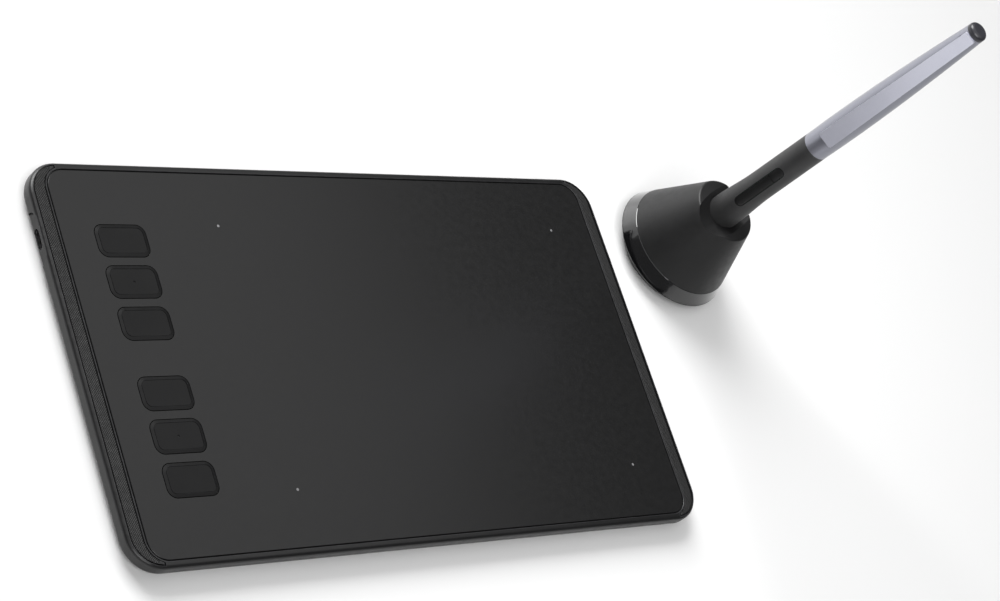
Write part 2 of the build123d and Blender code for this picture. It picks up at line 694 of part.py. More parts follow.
def shield_sheet():
    """Thin steel sheet behind the sensor board."""
    half = SENSOR_WIDTH / 2
    return plain_block(SENSOR_LEFT, SENSOR_RIGHT, -half, half, SHIELD_UNDER_Z, SENSOR_UNDER_Z)


def control_board():
    """Board under the keys, with an ear that reaches the port and a notch for its socket."""
    half = BOARD_HALF_WIDTH
    board = rounded_block(
        BOARD_RIGHT - BOARD_LEFT,
        2 * half,
        BOARD_CORNER,
        BOARD_UNDER_Z,
        BOARD_TOP_Z,
        (BOARD_LEFT + BOARD_RIGHT) / 2,
    )
    ear = PORT_WIDTH / 2 + EAR_MARGIN
    ear_left = -CAVITY_X + EAR_BACK
    board += plain_block(
        ear_left, BOARD_LEFT + BOARD_CORNER, PORT_Y - ear, PORT_Y + ear, BOARD_UNDER_Z, BOARD_TOP_Z
    )
    notch = PORT_WIDTH / 2 + PORT_CLEARANCE
    board -= plain_block(
        ear_left,
        SOCKET_BACK_X + PORT_CLEARANCE,
        PORT_Y - notch,
        PORT_Y + notch,
        BOARD_UNDER_Z,
        BOARD_TOP_Z,
    )
    for x, y in BOARD_SCREW_POINTS:
        board -= post(SCREW_RADIUS + SCREW_CLEARANCE, BOARD_UNDER_Z, BOARD_TOP_Z, x, y)
    return board


def board_screws():
    """Three screws up through the control board into the frame."""
    head_low = BOARD_UNDER_Z - BOARD_SCREW_HEAD
    tip = BOARD_TOP_Z + BOARD_SCREW_BITE - SCREW_FIT
    return Compound([
        post(SCREW_HEAD_RADIUS, head_low, BOARD_UNDER_Z, x, y)
        + post(SCREW_RADIUS, BOARD_UNDER_Z, tip, x, y)
        for x, y in BOARD_SCREW_POINTS
    ])


def control_chips():
    """Square chips beside the keys, largest in the middle."""
    x = KEYS_RIGHT + KEY_FLANGE + CHIP_TO_KEY
    chips = []
    for size_share, place_share in CHIP_SHARES:
        half = CHIP_SIZE * size_share / 2
        y = BOARD_HALF_WIDTH * place_share
        top = BOARD_TOP_Z + CHIP_HEIGHT
        chips.append(plain_block(x - half, x + half, y - half, y + half, BOARD_TOP_Z, top))
    return Compound(chips)


def board_jumper():
    """Flat lead that steps down from the sensor board's tab to the control board."""
    high = SENSOR_UNDER_Z
    low = BOARD_TOP_Z + JUMPER_THICKNESS
    start = SENSOR_LEFT - JUMPER_INSET
    top_end = SENSOR_LEFT - SENSOR_TAB
    foot = BOARD_RIGHT - JUMPER_INSET
    points = [
        (start, high),
        (top_end, high),
        (foot, low),
        (foot - JUMPER_LAP, low),
        (foot - JUMPER_LAP, low - JUMPER_THICKNESS),
        (foot, low - JUMPER_THICKNESS),
        (top_end, high - JUMPER_THICKNESS),
        (start, high - JUMPER_THICKNESS),
    ]
    side = Plane(origin=(0, JUMPER_WIDTH / 2, 0), x_dir=(1, 0, 0), z_dir=(0, -1, 0))
    return extrude(side * make_face(Polyline(points, close=True)), JUMPER_WIDTH)


# Port
def port_section(shrink):
    """The port's rounded section, drawn in by shrink, on the plane of the socket's mouth."""
    mouth = Plane(origin=(SOCKET_FRONT_X, PORT_Y, PORT_Z), x_dir=(0, 1, 0), z_dir=(1, 0, 0))
    return mouth * SlotOverall(PORT_WIDTH - 2 * shrink, PORT_HEIGHT - 2 * shrink)


def usb_socket():
    """Formed metal shell of the socket."""
    shell = extrude(port_section(PORT_CLEARANCE), PORT_DEPTH)
    return shell - extrude(port_section(PORT_CLEARANCE + SOCKET_SKIN), PORT_DEPTH)


def usb_tongue():
    """Moulded contact tongue with the block that closes the back of the shell."""
    fill = extrude(port_section(PORT_CLEARANCE + SOCKET_SKIN + INLAY_GAP), PORT_DEPTH)
    block_x = SOCKET_BACK_X - TONGUE_BLOCK
    block = fill & plain_block(
        block_x, SOCKET_BACK_X, PORT_Y - PORT_WIDTH, PORT_Y + PORT_WIDTH, 0, TOP_Z
    )
    tongue = plain_block(
        SOCKET_FRONT_X + TONGUE_SUNK,
        block_x,
        PORT_Y - TONGUE_WIDTH / 2,
        PORT_Y + TONGUE_WIDTH / 2,
        PORT_Z - TONGUE_THICKNESS / 2,
        PORT_Z + TONGUE_THICKNESS / 2,
    )
    return block + tongue


# Stand
def cone_radius(z):
    """Outer radius of the stand's cone at a height."""
    return STAND_MAX_RADIUS - CONE_SLOPE * (z - STAND_MAX_Z)


def grip_stations():
    """Radius and distance from the tip along the front of the pen."""
    bulge = GRIP_RADIUS - CONE_RADIUS
    length = GRIP_AT - NIB_SHOWING
    return [
        (CONE_RADIUS + bulge * out_share, NIB_SHOWING + length * up_share)
        for out_share, up_share in NOSE_SHARES
    ]


def nose_curve(extra, raised):
    """The line of the pen's nose, larger by extra and raised."""
    points = [(r + extra, 0, z + raised) for r, z in grip_stations()]
    return Spline(points, tangents=[(NOSE_LEAN, 0, 1), (0, 0, 1)])


def socket_form(extra, top, bottom):
    """A turned form round the front of the pen, larger by extra, from bottom to top."""
    curve = nose_curve(extra, PEN_TIP_Z)
    low_r = CONE_RADIUS + extra
    high_r = GRIP_RADIUS + extra
    sides = Polyline([
        (high_r, 0, PEN_TIP_Z + GRIP_AT),
        (high_r, 0, top),
        (0, 0, top),
        (0, 0, bottom),
        (low_r, 0, bottom),
        (low_r, 0, PEN_TIP_Z + NIB_SHOWING),
    ])
    return revolve(make_face([curve, sides]), Axis.Z)


def stand_cover():
    """Hollow cone with the pen's socket in its middle and a trough across its top."""
    low = BAND_TOP_Z + COVER_GAP
    outer = turned([
        (0, low),
        (cone_radius(low), low),
        (STAND_RIM_RADIUS, STAND_RIM_Z),
        (STAND_CREST_RADIUS, STAND_CREST_Z),
        (0, STAND_CREST_Z),
    ])
    rim = [edge for edge in outer.edges() if abs(edge.center().Z - STAND_RIM_Z) < NEAR]
    outer = fillet(rim, STAND_RIM_ROUND)
    roof_z = TROUGH_FLOOR_Z - COVER_ROOF
    neck_top = BAND_TOP_Z + NECK_RISE + COVER_ROOF
    cavity = turned([
        (0, low),
        (NECK_RADIUS + NECK_FIT, low),
        (NECK_RADIUS + NECK_FIT, BAND_TOP_Z + NECK_RISE),
        (cone_radius(neck_top) - COVER_WALL, neck_top),
        (cone_radius(roof_z) - COVER_WALL, roof_z),
        (0, roof_z),
    ])
    well_z = PEN_TIP_Z - SOCKET_TIP_GAP
    tube = socket_form(SEAT_GAP + SOCKET_WALL, STAND_CREST_Z, well_z - SOCKET_FLOOR)
    cover = outer - (cavity - tube)
    cover -= socket_form(SEAT_GAP, STAND_CREST_Z, PEN_TIP_Z + NIB_SHOWING - SEAT_GAP)
    cover -= post(NIB_RADIUS + SOCKET_NIB_GAP, well_z, PEN_TIP_Z + NIB_SHOWING)
    trough_z = TROUGH_FLOOR_Z + TROUGH_RADIUS
    trough = Pos(0, 0, trough_z) * Rot(90, 0, 0) * Cylinder(TROUGH_RADIUS, 4 * STAND_RIM_RADIUS)
    return cover - trough


def stand_base():
    """Dish with a bevelled skirt and the neck that the cover pushes onto."""
    shoulder_z = STAND_MAX_Z - COVER_GAP
    base = turned([
        (0, PAD_PROUD),
        (STAND_FOOT_RADIUS, PAD_PROUD),
        (STAND_MAX_RADIUS, shoulder_z),
        (NECK_RADIUS, shoulder_z),
        (NECK_RADIUS, BAND_TOP_Z + NECK_RISE),
        (NECK_BORE, BAND_TOP_Z + NECK_RISE),
        (NECK_BORE, FLOOR_TOP_Z),
        (0, FLOOR_TOP_Z),
    ])
    foot = [edge for edge in base.edges() if abs(edge.center().Z - PAD_PROUD) < NEAR]
    base = fillet(foot, PAD_RECESS)
    return base - post(PAD_RADIUS + FOOT_GAP, PAD_PROUD, PAD_PROUD + PAD_RECESS)


def stand_band():
    """Gloss ring round the neck, with softened edges."""
    low = STAND_MAX_Z - COVER_GAP
    bore = NECK_RADIUS + NECK_FIT
    return turned([
        (bore, low),
        (STAND_MAX_RADIUS - BAND_EDGE, low),
        (cone_radius(STAND_MAX_Z + BAND_EDGE), STAND_MAX_Z + BAND_EDGE),
        (cone_radius(BAND_TOP_Z - BAND_EDGE), BAND_TOP_Z - BAND_EDGE),
        (cone_radius(BAND_TOP_Z) - BAND_EDGE, BAND_TOP_Z),
        (bore, BAND_TOP_Z),
    ])


def stand_foot_pad():
    """Rubber disc under the stand."""
    disc = post(PAD_RADIUS, 0, PAD_PROUD + PAD_RECESS)
    return chamfer(disc.faces().sort_by(Axis.Z)[0].edges(), PAD_PROUD / 2)


def stand_weight():
    """Steel disc that keeps the stand upright."""
    return post(NECK_BORE - WEIGHT_GAP, FLOOR_TOP_Z, WEIGHT_TOP_Z)


def nib_points():
    """Places of the spare nibs on their ring."""
    turns = [2 * pi * number / NIB_COUNT for number in range(NIB_COUNT)]
    return [(NIB_RING_RADIUS * cos(turn), NIB_RING_RADIUS * sin(turn)) for turn in turns]


def nib_holder():
    """Disc with a well for each spare nib and a recess for the puller."""
    holder = post(NECK_BORE - HOLDER_GAP, WEIGHT_TOP_Z, HOLDER_TOP_Z)
    for x, y in nib_points():
        holder -= post(NIB_RADIUS + NIB_FIT, WELL_FLOOR_Z, HOLDER_TOP_Z, x, y)
    return holder - post(PULLER_RADIUS + PULLER_GAP, HOLDER_TOP_Z - PULLER_HEIGHT, HOLDER_TOP_Z)


def nib_form():
    """One nib, tip down, with a rounded tip."""
    nib = post(NIB_RADIUS, 0, NIB_LENGTH)
    return fillet(nib.faces().sort_by(Axis.Z)[0].edges(), NIB_TIP_ROUND)


def spare_nibs():
    """Spare nibs in their wells, tips up."""
    nib = Rot(180, 0, 0) * nib_form()
    return Compound([Pos(x, y, WELL_FLOOR_Z + NIB_LENGTH) * nib for x, y in nib_points()])


def nib_puller():
    """Split ring for drawing out a nib."""
    low = HOLDER_TOP_Z - PULLER_HEIGHT
    ring = post(PULLER_RADIUS, low, HOLDER_TOP_Z)
    ring -= post(PULLER_RADIUS - PULLER_WIDTH, low, HOLDER_TOP_Z)
    half = PULLER_SLIT / 2
    return ring - plain_block(-half, half, -PULLER_RADIUS, 0, low, HOLDER_TOP_Z)


# Pen
def pen_grip():
    """Front shell with the tapered nose, the stepped bore and the slot for the rocker."""
    nose = nose_curve(0, 0)
    waist = Spline(
        [(GRIP_RADIUS, 0, GRIP_AT), (WAIST_RADIUS, 0, WAIST_AT)], tangents=[(0, 0, 1), (0, 0, 1)]
    )
    nib_bore = NIB_RADIUS + NIB_BORE_GAP
    inside = Polyline([
        (WAIST_RADIUS, 0, WAIST_AT),
        (JOIN_RADIUS, 0, GRIP_LENGTH),
        (PEN_BORE, 0, GRIP_LENGTH),
        (PEN_BORE, 0, COIL_BORE_END),
        (COIL_BORE, 0, COIL_BORE_END),
        (COIL_BORE, 0, COIL_BORE_START),
        (nib_bore, 0, COIL_BORE_START),
        (nib_bore, 0, NIB_SHOWING),
        (CONE_RADIUS, 0, NIB_SHOWING),
    ])
    shell = revolve(make_face([nose, waist, inside]), Axis.Z)
    return shell - rocker_prism(0, 0, GRIP_RADIUS * 2)


def rocker_prism(shrink, near, far):
    """The rocker slot's outline carried through the front wall, drawn in by shrink."""
    front = Plane(origin=(0, -near, ROCKER_MID), x_dir=(0, 0, 1), z_dir=(0, -1, 0))
    return extrude(front * SlotOverall(SLOT_LENGTH - 2 * shrink, SLOT_WIDTH - 2 * shrink), far - near)


def pen_rocker_button():
    """Rocker with a lower upper end, a ridge that it tips on and a tab at each end."""
    bar = rocker_prism(ROCKER_GAP, ROCKER_INNER, GRIP_RADIUS * 2)
    low_end = SLOT_LOW
    high_end = SLOT_LOW + SLOT_LENGTH
    step = high_end - ROCKER_STEP
    face = JOIN_RADIUS + ROCKER_PROUD
    bar &= post(face, low_end, step) + post(face - ROCKER_STEP_DROP, step, high_end)
    web = plain_block(
        -ROCKER_WEB / 2,
        ROCKER_WEB / 2,
        -ROCKER_INNER,
        ROCKER_PIVOT_Y,
        ROCKER_MID - ROCKER_RIDGE,
        ROCKER_MID + ROCKER_RIDGE,
    )
    ridge = Pos(0, ROCKER_PIVOT_Y, ROCKER_MID) * Rot(0, 90, 0) * Cylinder(ROCKER_RIDGE, ROCKER_WEB)
    rocker = bar + web + ridge
    half = ROCKER_TAB_WIDTH / 2
    tab_low_y = -ROCKER_INNER + ROCKER_TAB_DROP
    for side in (-1, 1):
        inner = side * (SLOT_LENGTH / 2 - ROCKER_GAP - ROCKER_TAB_BLOCK)
        outer = inner + side * ROCKER_TAB_BLOCK
        reach = outer + side * (ROCKER_GAP + ROCKER_TAB_REACH)
        rocker += span_block(half, -ROCKER_INNER, tab_low_y, inner, outer)
        rocker += span_block(half, tab_low_y - ROCKER_TAB_THICKNESS, tab_low_y, outer, reach)
    return rocker


def span_block(half, y_low, y_high, start, end):
    """A block on the pen's front, between two distances from the rocker's middle."""
    low = ROCKER_MID + min(start, end)
    high = ROCKER_MID + max(start, end)
    return plain_block(-half, half, y_low, y_high, low, high)


def barrel_stations():
    """Radius and distance from the tip along the rear half of the pen."""
    return [
        (JOIN_RADIUS, GRIP_LENGTH),
        (BARREL_MID_RADIUS, BARREL_MID_AT),
        (BARREL_UPPER_RADIUS, BARREL_UPPER_AT),
        (BARREL_TOP_RADIUS, BARREL_TOP),
    ]


def pen_rear_barrel():
    """Rear half: hollow tube with a spigot below and the clip's pocket near the top."""
    stations = barrel_stations()
    skin = Spline([(r, 0, z) for r, z in stations])
    closed_at = BARREL_TOP - BARREL_SOLID
    inside = Polyline([
        (BARREL_TOP_RADIUS, 0, BARREL_TOP),
        (0, 0, BARREL_TOP),
        (0, 0, closed_at),
        (BARREL_UPPER_RADIUS - BARREL_WALL, 0, closed_at),
        (SPIGOT_BORE, 0, GRIP_LENGTH),
        (SPIGOT_BORE, 0, GRIP_LENGTH - SPIGOT_LENGTH),
        (SPIGOT_RADIUS, 0, GRIP_LENGTH - SPIGOT_LENGTH),
        (SPIGOT_RADIUS, 0, GRIP_LENGTH),
        (JOIN_RADIUS, 0, GRIP_LENGTH),
    ])
    barrel = revolve(make_face([skin, inside]), Axis.Z)
    barrel -= clip_band(CLIP_POCKET_GAP, CLIP_POCKET_REACH) & pocket_prism()
    barrel -= clip_pivot(CLIP_PIVOT_RADIUS + CLIP_PIVOT_FIT, CLIP_TOP_WIDTH / 2 + CLIP_POCKET_GAP)
    spigot_low = BARREL_TOP - CAP_SPIGOT_LENGTH
    return barrel - post(CAP_SPIGOT_RADIUS + CAP_FIT, spigot_low, BARREL_TOP)


def pen_end_cap():
    """Rounded dark cap with a spigot."""
    cap = rounded_top(post(BARREL_TOP_RADIUS, BARREL_TOP, PEN_LENGTH), CAP_ROUND)
    return cap + post(CAP_SPIGOT_RADIUS, BARREL_TOP - CAP_SPIGOT_LENGTH, BARREL_TOP)


def clip_stations():
    """Distance from the tip and height of the clip's inner face above the pen's axis."""
    return [
        (CLIP_LOW, JOIN_RADIUS + CLIP_LIFT_LOW),
        (BARREL_MID_AT, BARREL_MID_RADIUS + CLIP_LIFT_MID),
        (BARREL_UPPER_AT, BARREL_UPPER_RADIUS + CLIP_LIFT_UPPER),
        (CLIP_TOP, BARREL_TOP_RADIUS - CLIP_TOP_SUNK),
    ]


def clip_band(inner_gap, thickness):
    """The clip's side view carried across the pen, from inner_gap inside its inner face."""
    inner = [(-y + inner_gap, z) for z, y in clip_stations()]
    outer = [(y - thickness, z) for y, z in reversed(inner)]
    near = Spline([(0, y, z) for y, z in inner])
    far = Spline([(0, y, z) for y, z in outer])
    top = Line((0, *inner[-1]), (0, *outer[0]))
    low = Line((0, *outer[-1]), (0, *inner[0]))
    face = make_face([near, top, far, low])
    return extrude(face, CLIP_LOW_WIDTH, both=True)


def front_prism(points, rounds):
    """An outline in the pen's front view carried through the clip."""
    corners = [(x, 0, z) for x, z in points]
    outline = FilletPolyline(*corners, radius=rounds, close=True)
    return extrude(make_face(outline), 4 * GRIP_RADIUS, both=True)


def pocket_prism():
    """The front view of the clip's pocket in the barrel."""
    half = CLIP_TOP_WIDTH / 2 + CLIP_POCKET_GAP
    low = CLIP_TOP - CLIP_POCKET_LENGTH
    high = CLIP_TOP + CLIP_TOP_GAP
    return plain_block(-half, half, -2 * GRIP_RADIUS, 0, low, high)


def clip_pivot(radius, half_width):
    """The round pin across the clip's root."""
    y = clip_pivot_y()
    return Pos(0, y, CLIP_PIVOT_AT) * Rot(0, 90, 0) * Cylinder(radius, 2 * half_width)


def clip_pivot_y():
    """Place of the clip's pivot in front of the pen's axis, on its inner face."""
    return -(BARREL_TOP_RADIUS - CLIP_TOP_SUNK + CLIP_POCKET_GAP)


def pen_clip():
    """Tapered clip with a rounded lower end, a bump under it and a pin at its root."""
    half_top = CLIP_TOP_WIDTH / 2
    half_low = CLIP_LOW_WIDTH / 2
    outline = [(-half_top, CLIP_TOP), (half_top, CLIP_TOP), (half_low, CLIP_LOW), (-half_low, CLIP_LOW)]
    clip = clip_band(0, CLIP_THICKNESS) & front_prism(outline, CLIP_EDGE)
    clip = round_clip_end(clip)
    clip += clip_pivot(CLIP_PIVOT_RADIUS, half_top)
    bump_z = CLIP_LOW + CLIP_BUMP_AT
    bump_y = -(JOIN_RADIUS + CLIP_LIFT_LOW)
    bump = Pos(0, bump_y, bump_z) * Rot(0, 90, 0) * Cylinder(CLIP_BUMP, CLIP_TOP_WIDTH)
    return clip + bump


def round_clip_end(clip):
    """Cuts the lower end of the clip to its rounded outline."""
    half_low = CLIP_LOW_WIDTH / 2 + CLIP_EDGE
    tall = CLIP_TOP - CLIP_LOW
    keep = RectangleRounded(2 * half_low, 2 * tall, CLIP_LOW_ROUND)
    plane = Plane(origin=(0, 0, CLIP_LOW + tall), x_dir=(1, 0, 0), z_dir=(0, -1, 0))
    return clip & extrude(plane * keep, 4 * GRIP_RADIUS, both=True)


def pen_nib_rod():
    """Rod that carries the nib's push to the pressure sensor."""
    return post(ROD_RADIUS, NIB_LENGTH, SENSOR_LOW - ROD_END_GAP)


def pen_ferrite_core():
    """Tube of ferrite round the nib."""
    return post(CORE_RADIUS, COIL_BORE_START, COIL_BORE_START + CORE_LENGTH) - post(
        CORE_BORE, COIL_BORE_START, COIL_BORE_START + CORE_LENGTH
    )


def pen_coil():
    """Winding on the core, as one closed sleeve."""
    low = COIL_BORE_START + (CORE_LENGTH - COIL_LENGTH) / 2
    return post(COIL_RADIUS, low, low + COIL_LENGTH) - post(
        CORE_RADIUS + COIL_GAP, low, low + COIL_LENGTH
    )


def pen_pressure_sensor():
    """Round sensor in the head of the carrier."""
    return post(SENSOR_RADIUS, SENSOR_LOW, SENSOR_LOW + SENSOR_LENGTH)


def pen_carrier():
    """Chassis: a head that holds the sensor, a trough for the board and the rocker's bridge."""
    top = CARRIER_LOW + CARRIER_LENGTH
    head_top = CARRIER_LOW + CARRIER_HEAD
    rod = post(CARRIER_RADIUS, CARRIER_LOW, top)
    front = plain_block(
        -CARRIER_RADIUS, CARRIER_RADIUS, -CARRIER_RADIUS, -CARRIER_FLAT, head_top, top
    )
    carrier = rod - front
    carrier -= post(SENSOR_RADIUS + SENSOR_FIT, CARRIER_LOW, SENSOR_LOW + SENSOR_LENGTH)
    low = ROCKER_MID - BRIDGE_LENGTH / 2
    high = ROCKER_MID + BRIDGE_LENGTH / 2
    bridge = plain_block(
        -BRIDGE_HALF_WIDTH, BRIDGE_HALF_WIDTH, BRIDGE_FRONT_Y, -CARRIER_FLAT, low, high
    )
    way = PEN_BOARD_WIDTH / 2 + BRIDGE_GAP
    bridge -= plain_block(-way, way, BOARD_FRONT_Y - BRIDGE_GAP, -CARRIER_FLAT, low, high)
    return carrier + bridge


def pen_circuit_board():
    """Narrow board on the carrier's flat."""
    half = PEN_BOARD_WIDTH / 2
    low = CARRIER_LOW + CARRIER_HEAD + PEN_BOARD_MARGIN
    high = CARRIER_LOW + CARRIER_LENGTH - PEN_BOARD_MARGIN
    return plain_block(-half, half, BOARD_FRONT_Y, -CARRIER_FLAT, low, high)


def pen_button_switches():
    """Two switches on the board, one under each end of the rocker."""
    half = PEN_SWITCH_WIDTH / 2
    front = BOARD_FRONT_Y - PEN_SWITCH_HEIGHT
    switches = []
    for side in (-1, 1):
        middle = side * PEN_SWITCH_OFFSET
        start = middle - PEN_SWITCH_LENGTH / 2
        switches.append(span_block(half, front, BOARD_FRONT_Y, start, start + PEN_SWITCH_LENGTH))
    return Compound(switches)


# Files
TABLET_PIECES = {
    "top_frame": top_frame,
    "bottom_cover": bottom_cover,
    "rubber_feet": rubber_feet,
    "cover_screws": cover_screws,
    "drawing_surface": drawing_surface,
    "corner_marks": corner_marks,
    "surface_adhesive": surface_adhesive,
    "sensor_board": sensor_board,
    "shield_sheet": shield_sheet,
    "control_board": control_board,
    "control_chips": control_chips,
    "board_screws": board_screws,
    "board_jumper": board_jumper,
    "switch_cases": switch_cases,
    "usb_socket": usb_socket,
    "usb_tongue": usb_tongue,
}
STAND_PIECES = {
    "stand_cover": stand_cover,
    "stand_base": stand_base,
    "stand_band": stand_band,
    "stand_foot_pad": stand_foot_pad,
    "stand_weight": stand_weight,
    "nib_holder": nib_holder,
    "spare_nibs": spare_nibs,
    "nib_puller": nib_puller,
}
PEN_PIECES = {
    "pen_grip": pen_grip,
    "pen_rear_barrel": pen_rear_barrel,
    "pen_clip": pen_clip,
    "pen_end_cap": pen_end_cap,
    "pen_rocker_button": pen_rocker_button,
    "pen_nib": nib_form,
    "pen_nib_rod": pen_nib_rod,
    "pen_ferrite_core": pen_ferrite_core,
    "pen_coil": pen_coil,
    "pen_pressure_sensor": pen_pressure_sensor,
    "pen_carrier": pen_carrier,
    "pen_circuit_board": pen_circuit_board,
    "pen_button_switches": pen_button_switches,
}

for place, pieces in (
    (TABLET_PLACE, TABLET_PIECES),
    (STAND_PLACE, STAND_PIECES),
    (PEN_PLACE, PEN_PIECES),
):
    for name, make in pieces.items():
        write(name, make(), place)

write("left_trim_strip", trim_strip(0), TABLET_PLACE)
write("right_trim_strip", trim_strip(-1), TABLET_PLACE)

for number, key_y in enumerate(KEY_YS, start=1):
    key_place = TABLET_PLACE * Pos(KEY_X, key_y, 0)
    write(f"key_{number}_cap", key_cap(number % KEYS_PER_GROUP == DIMPLED_KEY), key_place)
    write(f"key_{number}_plunger", plunger(), key_place)
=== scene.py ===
"""Graphics tablet with its pen and pen stand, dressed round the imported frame."""

import json
import logging
import math
from dataclasses import dataclass
from enum import Enum

import bmesh
import bpy
from mathutils import Matrix, Vector


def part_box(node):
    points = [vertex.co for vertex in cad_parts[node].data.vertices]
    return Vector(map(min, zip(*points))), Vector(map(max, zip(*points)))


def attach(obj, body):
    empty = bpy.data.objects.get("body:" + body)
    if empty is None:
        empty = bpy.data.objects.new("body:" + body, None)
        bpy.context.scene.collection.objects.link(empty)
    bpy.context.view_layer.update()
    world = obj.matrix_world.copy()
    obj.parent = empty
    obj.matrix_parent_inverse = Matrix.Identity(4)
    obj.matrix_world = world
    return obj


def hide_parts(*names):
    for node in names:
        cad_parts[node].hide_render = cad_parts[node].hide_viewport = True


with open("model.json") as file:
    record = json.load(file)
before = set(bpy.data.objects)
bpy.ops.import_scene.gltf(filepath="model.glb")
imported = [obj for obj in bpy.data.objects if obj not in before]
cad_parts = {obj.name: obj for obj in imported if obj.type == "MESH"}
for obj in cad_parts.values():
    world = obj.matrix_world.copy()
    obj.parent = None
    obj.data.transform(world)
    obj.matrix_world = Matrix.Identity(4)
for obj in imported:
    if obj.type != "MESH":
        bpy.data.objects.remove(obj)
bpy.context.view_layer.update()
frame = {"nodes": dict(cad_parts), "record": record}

LOG = logging.getLogger("tablet")
MM = 0.001
MERGE = 0.001 * MM
SHARP_FROM = math.radians(30)

Triple = tuple[float, float, float]
Span = tuple[float, float]
Point = tuple[float, float]
Socket = bpy.types.NodeSocket
Piece = bpy.types.Object

# Spans that the patterns are carried from and to
FULL: Span = (0.0, 1.0)
NOISE_BAND: Span = (0.3, 0.7)
PORE_BAND: Span = (0.1, 0.45)
FLAKE_BAND: Span = (0.25, 0.95)
ZONE_BAND: Span = (0.48, 0.52)
HAIR_BAND: Span = (0.62, 0.72)
GRAIN_BAND: Span = (0.35, 0.65)
EDGE_BAND: Span = (0.999, 0.93)
EDGE_PATCH_SHARE: Span = (0.25, 1.0)

# Sizes, strengths and noise layers that all finishes share
CLOUD_SIZE = 14 * MM
EDGE_PATCH_SIZE = 3 * MM
MOTTLE_SIZE = 2.5 * MM
WORN_GLOSS = -0.12
EDGE_SAMPLES = 4
SOFT_DETAIL = 3.0
FINE_DETAIL = 4.0

# How the single reliefs are laid out, where a factor counts grains
PIT_FACTOR = 1.7
PIT_WEIGHT = 0.6
HAIR_SIZE = 0.6 * MM
HAIR_STRETCH: Triple = (0.04, 1.0, 1.0)
WAVE_SIZE = 7 * MM
BRUSH_STRETCH: Triple = (1.0, 0.03, 1.0)
LINE_SOFTNESS = 0.1
LONG_TRACE_FACTOR = 6
LONG_TRACE_SHARE = 0.45
CROSS_TRACE_FACTOR = 4
CROSS_TRACE_SHARE = 0.3
TRACE_ZONE = 5 * MM
AERIAL_PITCH = 5 * MM
AERIAL_SHARE = 0.12
WIRE_SHARE = 0.6
STRIPE_SHARE = 0.55
# How far below the strips' crests the painted highlight reaches
CREST_HIGHLIGHT_REACH = 0.2 * MM


class Relief(Enum):
    """What the surface of a finish is like close to."""

    SPARK = "moulded grain from a spark-eroded tool"
    TOOTH = "fine tooth of a writing film"
    SOFT = "soft-touch lacquer"
    POLISHED = "polished, with faint hairlines"
    BRUSHED = "drawn in one direction"
    PORES = "open pores"
    FLAKES = "metal flakes under a clear coat"
    TRACES = "copper traces under solder mask"
    GRID = "two crossed sets of conductors"
    WIRE = "turns of fine wire"
    STRIPES = "side by side conductors"
    # Painted highlight on the crests and painted shade in the hollows, laid by height
    KNURL = "raised mesh with dark hollows"


def shade(colour: Triple, factor: float) -> tuple[float, float, float, float]:
    """A colour made lighter or darker by a factor, with an alpha of 1."""
    return (*(min(1.0, part * factor) for part in colour), 1.0)


